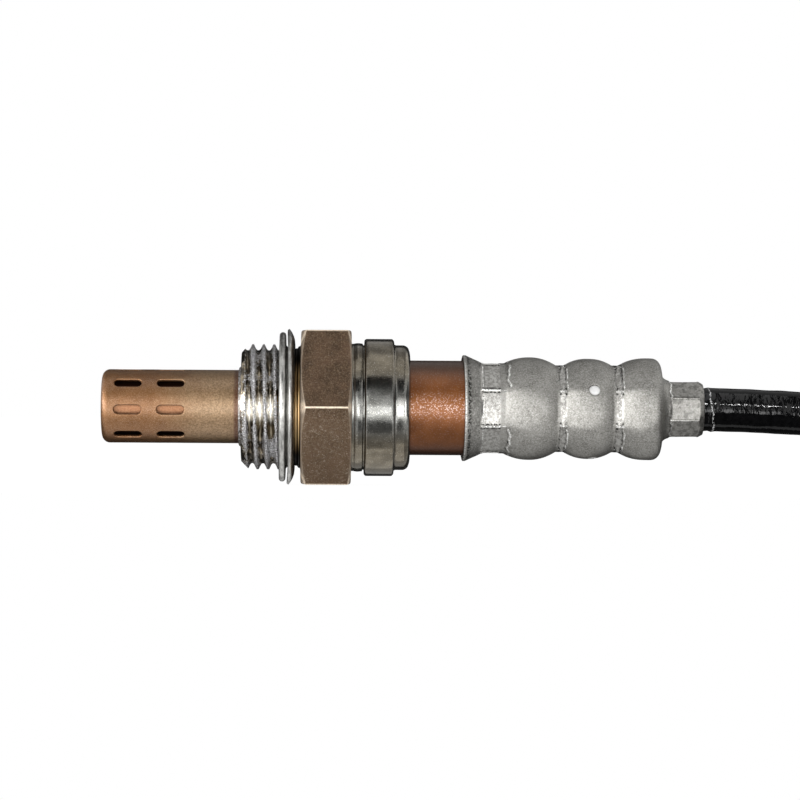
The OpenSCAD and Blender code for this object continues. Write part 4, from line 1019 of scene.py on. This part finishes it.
def cut_vents(piece):
    cutter = bpy.data.objects.new("vent_cutter", bpy.data.meshes.new("vent_cutter"))
    with edited(cutter.data) as work:
        for way in VENT_WAYS:
            made = bmesh.ops.create_cone(work, cap_ends=True, segments=40, radius1=VENT_R * MM,
                                         radius2=VENT_R * MM, depth=VENT_CUT_LEN * MM)
            stand_on_vent(made["verts"], way, VENT_CUT_R)
    bpy.context.scene.collection.objects.link(cutter)
    modifier = piece.modifiers.new("vents", "BOOLEAN")
    modifier.operation = "DIFFERENCE"
    modifier.solver = "EXACT"
    modifier.object = cutter
    graph = bpy.context.evaluated_depsgraph_get()
    result = bpy.data.meshes.new_from_object(piece.evaluated_get(graph))
    # The cut leaves slivers at the rims, which merge with their neighbours
    with edited(result) as work:
        rim = [vert for vert in work.verts if on_vent_wall(vert)]
        bmesh.ops.remove_doubles(work, verts=rim, dist=SLIVER * MM)
        by_rim = [face for face in work.faces if any(on_vent_wall(vert) for vert in face.verts)]
        bmesh.ops.triangulate(work, faces=by_rim)
        bmesh.ops.remove_doubles(work, verts=work.verts, dist=SAME_POINT * MM)
    piece.modifiers.clear()
    old = piece.data
    piece.data = result
    bpy.data.meshes.remove(old)
    bpy.data.objects.remove(cutter)


# The lead and what is on it
def smooth_path(points, spacing):
    """A centripetal curve through the points, with a point every spacing"""
    points = [np.array(p, float) for p in points]
    points = [2 * points[0] - points[1], *points, 2 * points[-1] - points[-2]]

    def between(t, a, b, start, end):
        return ((end - t) * a + (t - start) * b) / (end - start)

    dense = []
    for p0, p1, p2, p3 in zip(points, points[1:], points[2:], points[3:]):
        t1 = np.linalg.norm(p1 - p0) ** 0.5
        t2 = t1 + np.linalg.norm(p2 - p1) ** 0.5
        t3 = t2 + np.linalg.norm(p3 - p2) ** 0.5
        for t in np.linspace(t1, t2, 24, endpoint=False):
            a1, a2, a3 = between(t, p0, p1, 0, t1), between(t, p1, p2, t1, t2), between(t, p2, p3, t2, t3)
            b1, b2 = between(t, a1, a2, 0, t2), between(t, a2, a3, t1, t3)
            dense.append(between(t, b1, b2, t1, t2))
    dense = np.array([*dense, points[-2]])
    along = np.concatenate([[0], np.cumsum(np.linalg.norm(np.diff(dense, axis=0), axis=1))])
    wanted = np.linspace(0, along[-1], max(2, int(round(along[-1] / spacing)) + 1))
    return np.stack([np.interp(wanted, along, dense[:, i]) for i in range(3)], axis=1), wanted


def lead_points():
    """The route along the surface, out round the loop of the hank and back"""
    points = [np.array(p, float) for p in LEAD_ROUTE]
    for point, sag in zip(points[2:5], (0.25, 0.3, 0.15)):
        point[2] -= sag

    def run(y, xs):
        return [np.array((x, y, LEAD_REST_Z), float) for x in xs]

    def arc(cx, cy, start, end, count):
        return [
            np.array((cx + LOOP_R * math.cos(a), cy + LOOP_R * math.sin(a), LEAD_REST_Z))
            for a in np.linspace(start, end, count)
        ]

    turn = math.acos((RUN_PITCH / 2 + LOOP_R) / (2 * LOOP_R))
    loop_x = LOOP_NECK_X + 2 * LOOP_R * math.sin(turn)
    quarter = math.pi / 2
    points += run(0, range(LEAD_ROUTE[-1][0] + ROUTE_STEP, LOOP_NECK_X, ROUTE_STEP))
    points += arc(LOOP_NECK_X, -LOOP_R, quarter, quarter - turn, 6)
    points += arc(loop_x, RUN_PITCH / 2, -quarter - turn, quarter + turn, 28)[1:]
    points += arc(LOOP_NECK_X, RUN_PITCH + LOOP_R, turn - quarter, -quarter, 6)[1:]
    back = [*range(LOOP_NECK_X - ROUTE_STEP, LEAD_END_X, -ROUTE_STEP), LEAD_END_X]
    return points + run(RUN_PITCH, back)


def tube_mesh(name, path, radius, sides, surface):
    """A round tube along a path; radius is a number or an array of rings by sides"""
    count = len(path)
    way = np.gradient(path, axis=0)
    way /= np.linalg.norm(way, axis=1)[:, None]
    up = np.cross((0, 1, 0) if abs(way[0][1]) < 0.9 else (0, 0, 1), way[0])
    radius = np.broadcast_to(radius, (count, sides))
    points = []
    for i in range(count):
        up = up - way[i] * np.dot(up, way[i])
        up /= np.linalg.norm(up)
        across = np.cross(way[i], up)
        for j in range(sides):
            a = 2 * math.pi * j / sides
            points.append(path[i] + radius[i][j] * (math.cos(a) * up + math.sin(a) * across))
    faces = grid_faces(count, sides, False)
    faces.append(tuple(range(sides - 1, -1, -1)))
    faces.append(tuple(range((count - 1) * sides, count * sides)))
    return make_object(name, points, faces, [surface])


def sleeve_radius(path, along, sides):
    """The sleeve is slightly loose: it wrinkles where it leaves the crimp and is a little uneven all along
    """
    radius = np.full((len(path), sides), SLEEVE_R)
    exit_gap = along - (LEAD_EXIT_X - LEAD_ROUTE[0][0])
    for i in range(len(path)):
        for j in range(sides):
            a = 2 * math.pi * j / sides
            place = Vector((along[i] * 0.55, 1.5 * math.cos(a), 1.5 * math.sin(a)))
            radius[i][j] += 0.05 * noise.noise(place)
            fold = exit_gap[i] - 1.15 - 0.35 * math.cos(a + 0.9)
            radius[i][j] += 0.1 * math.exp(-(fold / 0.22) ** 2) - 0.05 * math.exp(-((fold + 0.5) / 0.3) ** 2)
    return radius


def add_lead(surface):
    path, along = smooth_path(lead_points(), 0.55)
    sides = 32
    piece = tube_mesh("sensor_lead", path, sleeve_radius(path, along, sides), sides, surface)
    finish_piece(piece, "sleeve_black", "lead_tube", "lead_hank", "lead_loop", "lead_end")


def hank_tie(surface):
    """Harness tape wound round the two runs; its edge climbs in a spiral"""
    half = SLEEVE_R
    bend = math.pi * half
    perimeter = 2 * (RUN_PITCH + bend)
    outline = []
    for s in (perimeter * i / TIE_SIDES for i in range(TIE_SIDES)):
        if s < RUN_PITCH:
            y, turn = s, -math.pi / 2
        elif s < RUN_PITCH + bend:
            y, turn = RUN_PITCH, (s - RUN_PITCH) / half - math.pi / 2
        elif s < 2 * RUN_PITCH + bend:
            y, turn = 2 * RUN_PITCH + bend - s, math.pi / 2
        else:
            y, turn = 0, (s - 2 * RUN_PITCH - bend) / half + math.pi / 2
        outline.append((y, math.cos(turn), math.sin(turn)))
    # Rows from end to end, with a first and a last one against the sleeve that close the tape
    stations = np.linspace(0, TIE_W, 61)
    points = [(TIE_X, y + half * ny, LEAD_REST_Z + half * nz) for y, ny, nz in outline]
    for x in stations:
        for i, (y, ny, nz) in enumerate(outline):
            wound = (x + TIE_CLIMB * i / TIE_SIDES) / TIE_CLIMB
            r = half + TAPE_T * (0.55 + 0.45 * (wound % 1)) - 0.02
            points.append((TIE_X + x, y + r * ny, LEAD_REST_Z + r * nz))
    points += [(TIE_X + TIE_W, y, z) for x, y, z in points[:TIE_SIDES]]
    piece = make_object("hank_tape", points, grid_faces(len(stations) + 2, TIE_SIDES, True), [surface])
    finish_piece(piece, "harness_tape", "hank_tie")
    return piece


def end_band(surface):
    inner_r, outer_r = SLEEVE_R, LEAD_R + TAPE_T - 0.05
    end_x = LEAD_END_X + END_BAND_W
    rows = rounded([
        (LEAD_END_X, inner_r, 0), (LEAD_END_X, outer_r, 0.12), (LEAD_END_X + 1.2, outer_r + 0.04, 0.3),
        (end_x - 1.4, outer_r, 0.3), (end_x, inner_r + 0.05, 0.05), (end_x, inner_r, 0),
    ])
    piece = turned_mesh("sleeve_band", spread(rows, 0.6), angles_with(48), [surface],
                        centre=(RUN_PITCH, LEAD_REST_Z))
    finish_piece(piece, "shrink_black", "sleeve_end_band")
    return piece


def wire_tail(use, slot, side, surface):
    """One insulated wire from the end of the sleeve into its cavity"""
    start = RUN_PITCH + side[0] * TAIL_OFFSET, LEAD_REST_Z + side[1] * TAIL_OFFSET
    cavity = CONNECTOR_Y + side[0] * CAVITY_OFFSET, CONNECTOR_Z + side[1] * CAVITY_OFFSET
    from_x, to_x = CONNECTOR_END_X + 1.5, LEAD_END_X - 1
    points = [(CONNECTOR_END_X - 6.5, *cavity), (CONNECTOR_END_X - 0.5, *cavity)]
    for share in (i / 6 for i in range(7)):
        bend = share * share * (3 - 2 * share)
        points.append((from_x + share * (to_x - from_x),
                       *(there + bend * (here - there) for there, here in zip(cavity, start))))
    points.append((LEAD_END_X, *start))
    piece = tube_mesh("lead_wire_" + use, smooth_path(points, 0.5)[0], WIRE_R, 20, surface)
    finish_piece(piece, slot, "tail_" + use)
    return piece


def dress_node(name, surface, bevel=0.0):
    """A material for a CAD node, and soft edges where it shows"""
    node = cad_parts[name]
    node.data.materials.clear()
    node.data.materials.append(surface)
    if bevel:
        modifier = node.modifiers.new("edges", "BEVEL")
        modifier.width = bevel * MM
        modifier.segments = 2
        modifier.limit_method = "ANGLE"
        modifier.angle_limit = math.radians(35)
    return node


# Plain materials as (light tone, dark tone, scale of the grain, roughness, metallic, depth of the bump)
PLAIN = {
    "plain_steel": ((168, 166, 160), (120, 118, 112), 4, 0.4, 1.0),
    "contact_nickel": ((186, 178, 158), (140, 132, 112), 5, 0.32, 1.0),
    "alumina_ceramic": ((238, 234, 224), (214, 208, 194), 3, 0.55),
    "zirconia_ceramic": ((232, 222, 200), (204, 192, 168), 2.5, 0.45),
    "talc_powder": ((218, 216, 206), (186, 184, 172), 6, 0.9),
    "ptfe_membrane": ((250, 250, 249), (238, 238, 237), 9, 0.5),
    "grommet_rubber": ((34, 34, 34), (20, 20, 20), 5, 0.75),
    "seal_silicone": ((150, 44, 34), (112, 30, 24), 4, 0.6),
    "terminal_tin": ((196, 190, 178), (150, 144, 132), 6, 0.3, 1.0),
    "lock_plastic": ((206, 200, 186), (186, 178, 162), 7, 0.55),
    "connector_plastic": ((40, 41, 44), (26, 27, 29), 9, 0.5, 0.0, 0.02),
    "shrink_tubing": ((26, 26, 27), (14, 14, 15), 3, 0.38, 0.0, 0.03),
    "wire_violet": ((96, 62, 142), (74, 46, 112), 4, 0.34),
    "wire_tan": ((196, 168, 128), (170, 142, 104), 4, 0.36),
    "wire_black": ((30, 30, 31), (16, 16, 17), 4, 0.34),
    "wire_brown": ((104, 66, 44), (78, 48, 32), 4, 0.36),
}
# CAD nodes that keep their own meshes
INSIDE = {
    "plain_steel": ["seat_washer", "crimp_ring", "separator_clip"],
    "contact_nickel": ["signal_contact", "ground_contact", "heater_terminal_a", "heater_terminal_b"],
    "alumina_ceramic": ["heater_rod", "ceramic_bushing", "terminal_separator"],
    "zirconia_ceramic": ["sensing_element"],
    "talc_powder": ["talc_seal"],
    "grommet_rubber": ["grommet"],
}
CONNECTOR = {
    "connector_housing": ("connector_plastic", 0.25),
    "connector_terminals": ("terminal_tin", 0.08),
    "connector_wire_seals": ("seal_silicone", 0.12),
    "connector_lock": ("lock_plastic", 0.15),
    "connector_face_seal": ("seal_silicone", 0.15),
}
# Each wire's material and its place in the connector
WIRES = {
    "signal": ("wire_violet", (-1, 1)), "ground": ("wire_tan", (1, 1)),
    "heater_a": ("wire_black", (-1, -1)), "heater_b": ("wire_brown", (1, -1)),
}
plain = {name: plain_surface(name, *values) for name, values in PLAIN.items()}

on_lead = [hank_tie(tape_surface()), end_band(plain["shrink_tubing"])]
on_lead += [wire_tail(use, slot, side, plain[slot]) for use, (slot, side) in WIRES.items()]
on_lead += [dress_node(name, plain[surface], bevel) for name, (surface, bevel) in CONNECTOR.items()]
add_lead(sleeve_surface())

slotted_tube(protection_tube_surface())
threaded_shell([thread_surface(), neck_surface(), hexagon_surface(), nickel_surface()])
crush_gasket(gasket_surface())
outer_cover(cover_surface())
vent_filter(plain["ptfe_membrane"])
dress_node("inner_protection_tube", inner_tube_surface())
dress_node("rear_sleeve", rear_tube_surface())
for surface, names in INSIDE.items():
    for name in names:
        dress_node(name, plain[surface])
for use, (slot, side) in WIRES.items():
    dress_node("wire_" + use, plain[slot])


# Stage and light
def card(name, corners, surface, **seen_by):
    piece = make_object(name, corners, [(0, 1, 2, 3)], [surface], smooth=False)
    for ray, seen in seen_by.items():
        setattr(piece, "visible_" + ray, seen)


def empty_tree(owner):
    """The node tree of a new material or world, without its nodes"""
    owner.use_nodes = True
    owner.node_tree.nodes.clear()
    return owner.node_tree


def white_rays(tree):
    """1 for the rays that see the white background: from the camera, mirrored or passed through"""
    rays = add_node(tree, "ShaderNodeLightPath").outputs
    seen = rays["Is Camera Ray"]
    for name in ("Is Glossy Ray", "Is Transmission Ray"):
        seen = add_node(tree, "ShaderNodeMath", {0: seen, 1: rays[name]}, operation="MAXIMUM").outputs[0]
    return seen


def floor_surface():
    """White to the camera and in reflections, with a faint shadow of the object"""
    material = bpy.data.materials.new("floor")
    tree = empty_tree(material)
    diffuse = add_node(tree, "ShaderNodeBsdfDiffuse", {"Color": (0.9, 0.9, 0.9, 1)})
    glow = add_node(tree, "ShaderNodeEmission", {"Strength": 1.15})
    share = add_node(tree, "ShaderNodeMath", {0: white_rays(tree), 1: 0.85}, operation="MULTIPLY")
    layers = {0: share.outputs[0], 1: diffuse.outputs[0], 2: glow.outputs[0]}
    mix = add_node(tree, "ShaderNodeMixShader", layers)
    add_node(tree, "ShaderNodeOutputMaterial", {0: mix.outputs[0]})
    return material


def glow_surface(brightness):
    material = bpy.data.materials.new("glow_%g" % brightness)
    tree = empty_tree(material)
    glow = add_node(tree, "ShaderNodeEmission", {"Color": (brightness, brightness, brightness, 1)})
    add_node(tree, "ShaderNodeOutputMaterial", {0: glow.outputs[0]})
    return material


def add_world():
    world = bpy.data.worlds.new("world")
    bpy.context.scene.world = world
    tree = empty_tree(world)
    strength = add_node(tree, "ShaderNodeMapRange", {"Value": white_rays(tree), "To Min": WORLD_FILL})
    inputs = {"Color": (1, 1, 1, 1), "Strength": strength.outputs[0]}
    background = add_node(tree, "ShaderNodeBackground", inputs)
    add_node(tree, "ShaderNodeOutputWorld", {0: background.outputs[0]})


def add_lamp(name, width, height, radiance, rise, mirrored=True):
    """Softbox behind the camera, whose middle stands rise degrees above the view direction"""
    data = bpy.data.lights.new(name, "AREA")
    data.shape = "RECTANGLE"
    data.size = width
    data.size_y = height
    data.energy = radiance * math.pi * width * height
    lamp = bpy.data.objects.new(name, data)
    lamp.location = (VIEW_X * MM, -LAMP_DISTANCE, LAMP_DISTANCE * math.tan(math.radians(rise)))
    lamp.rotation_euler = (math.radians(90 - rise), 0, 0)
    lamp.visible_glossy = mirrored
    bpy.context.scene.collection.objects.link(lamp)


# Strips that lie along the sensor at a distance, between two angles above the view direction:
# (brightness, low and high angle, distance, left and right end)
STRIPS = {
    "left_softbox": (2.6, -28, 24, 490, -500, -115),
    "right_softbox": (4.2, -20, 12, 490, 235, 500),
    "tube_light": (2.5, 3, 20, 490, -112, -14),
    "rear_light": (2.4, 3, 16, 490, 33, 46),
    "cover_light": (1.4, 3, 14, 490, 46, 120),
    "nickel_veil": (0.5, 9, 19, 495, 9, 33),
    "nickel_flag": (0.03, 19, 30, 495, 9, 33),
    "upper_veil": (0.5, 18, 29, 500, 33, 110),
    "upper_flag": (0.03, 29, 54, 500, STAGE_LEFT, 110),
    "tube_veil": (0.15, 95, 146, 500, STAGE_LEFT, 0),
    "nickel_card": (0.6, 106, 146, 500, 0, 33),
    "cover_veil": (0.35, 100, 146, 500, 33, 225),
    "rear_flag": (0.03, 146, 180, 500, STAGE_LEFT, STAGE_RIGHT),
    "lead_light": (60, 29, 33, 1490, 235, 295),
    "lead_gap": (0.03, -30, 29, 1490, 225, 350),
    "lead_shade": (0.03, 33, 146, 1490, 225, 350),
}
# Upright cards past the ends of the sensor: (brightness, x, bottom, top)
WALLS = {"left_wall": (9, -450, -110, 110), "right_wall": (0.2, 520, -180, 300)}
# Strips on the table under a part of the sensor: left and right end, front edge, then a strip
# for each (rear edge, brightness)
MATS = {
    "tube_mat": (STAGE_LEFT, -1, TABLE_FRONT_Y, (-23, 2.0), (-9.5, 0.75)),
    "hexagon_mat": (-1, 11, TABLE_FRONT_Y, (-23, 1), (-9.5, 0.95)),
    "nickel_mat": (11, 19, TABLE_FRONT_Y, (-33, 1.6), (-17, 0.22), (-9.5, 0.5)),
    "rear_tube_mat": (19, 27, TABLE_FRONT_Y, (-28, 2.2), (-14, 0.9), (-3, 0.45)),
    "cover_mat": (27, 61.5, TABLE_FRONT_Y, (-23, 2.3), (-9.5, 0.95), (-3, 0.7)),
    "lead_mat": (61.5, STAGE_RIGHT, TABLE_FRONT_Y, (-3, 0.03)),
    "rear_mat": (STAGE_LEFT, STAGE_RIGHT, -3, (0, 0.5), (500, 0.03)),
}


def add_cards():
    """Bright and dark cards that only reflections see"""
    hidden = dict(camera=False, diffuse=False, shadow=False, transmission=False)

    def rectangle(name, brightness, left, right, low, high):
        """A card between two x, whose low and high edges are given as (y, z)"""
        corners = [(left, *low), (right, *low), (right, *high), (left, *high)]
        card(name, corners, glow_surface(brightness), **hidden)

    for name, (brightness, low, high, reach, left, right) in STRIPS.items():
        edges = [(-reach * math.cos(a), reach * math.sin(a)) for a in map(math.radians, (low, high))]
        rectangle(name, brightness, left, right, *edges)
    for name, (brightness, x, low, high) in WALLS.items():
        front, rear = (x, WALL_FRONT_Y), (x, WALL_REAR_Y)
        corners = [(*front, low), (*rear, low), (*rear, high), (*front, high)]
        card(name, corners, glow_surface(brightness), **hidden)
    z = BENCH_Z + 0.1
    for name, (left, right, front, *zones) in MATS.items():
        for i, (rear, brightness) in enumerate(zones):
            rectangle(name + "_%d" % i, brightness, left, right, (front, z), (rear, z))
            front = rear


add_world()
add_lamp("camera_softbox", 0.36, 0.4, 3.5, -8.5)
add_lamp("fill_softbox", 1.2, 0.72, 2.8, -4, mirrored=False)
add_cards()
card("table", [(-TABLE_REACH, TABLE_FRONT_Y, BENCH_Z), (TABLE_REACH, TABLE_FRONT_Y, BENCH_Z),
               (TABLE_REACH, TABLE_REACH, BENCH_Z), (-TABLE_REACH, TABLE_REACH, BENCH_Z)], floor_surface())
bpy.context.scene.view_settings.view_transform = "Standard"
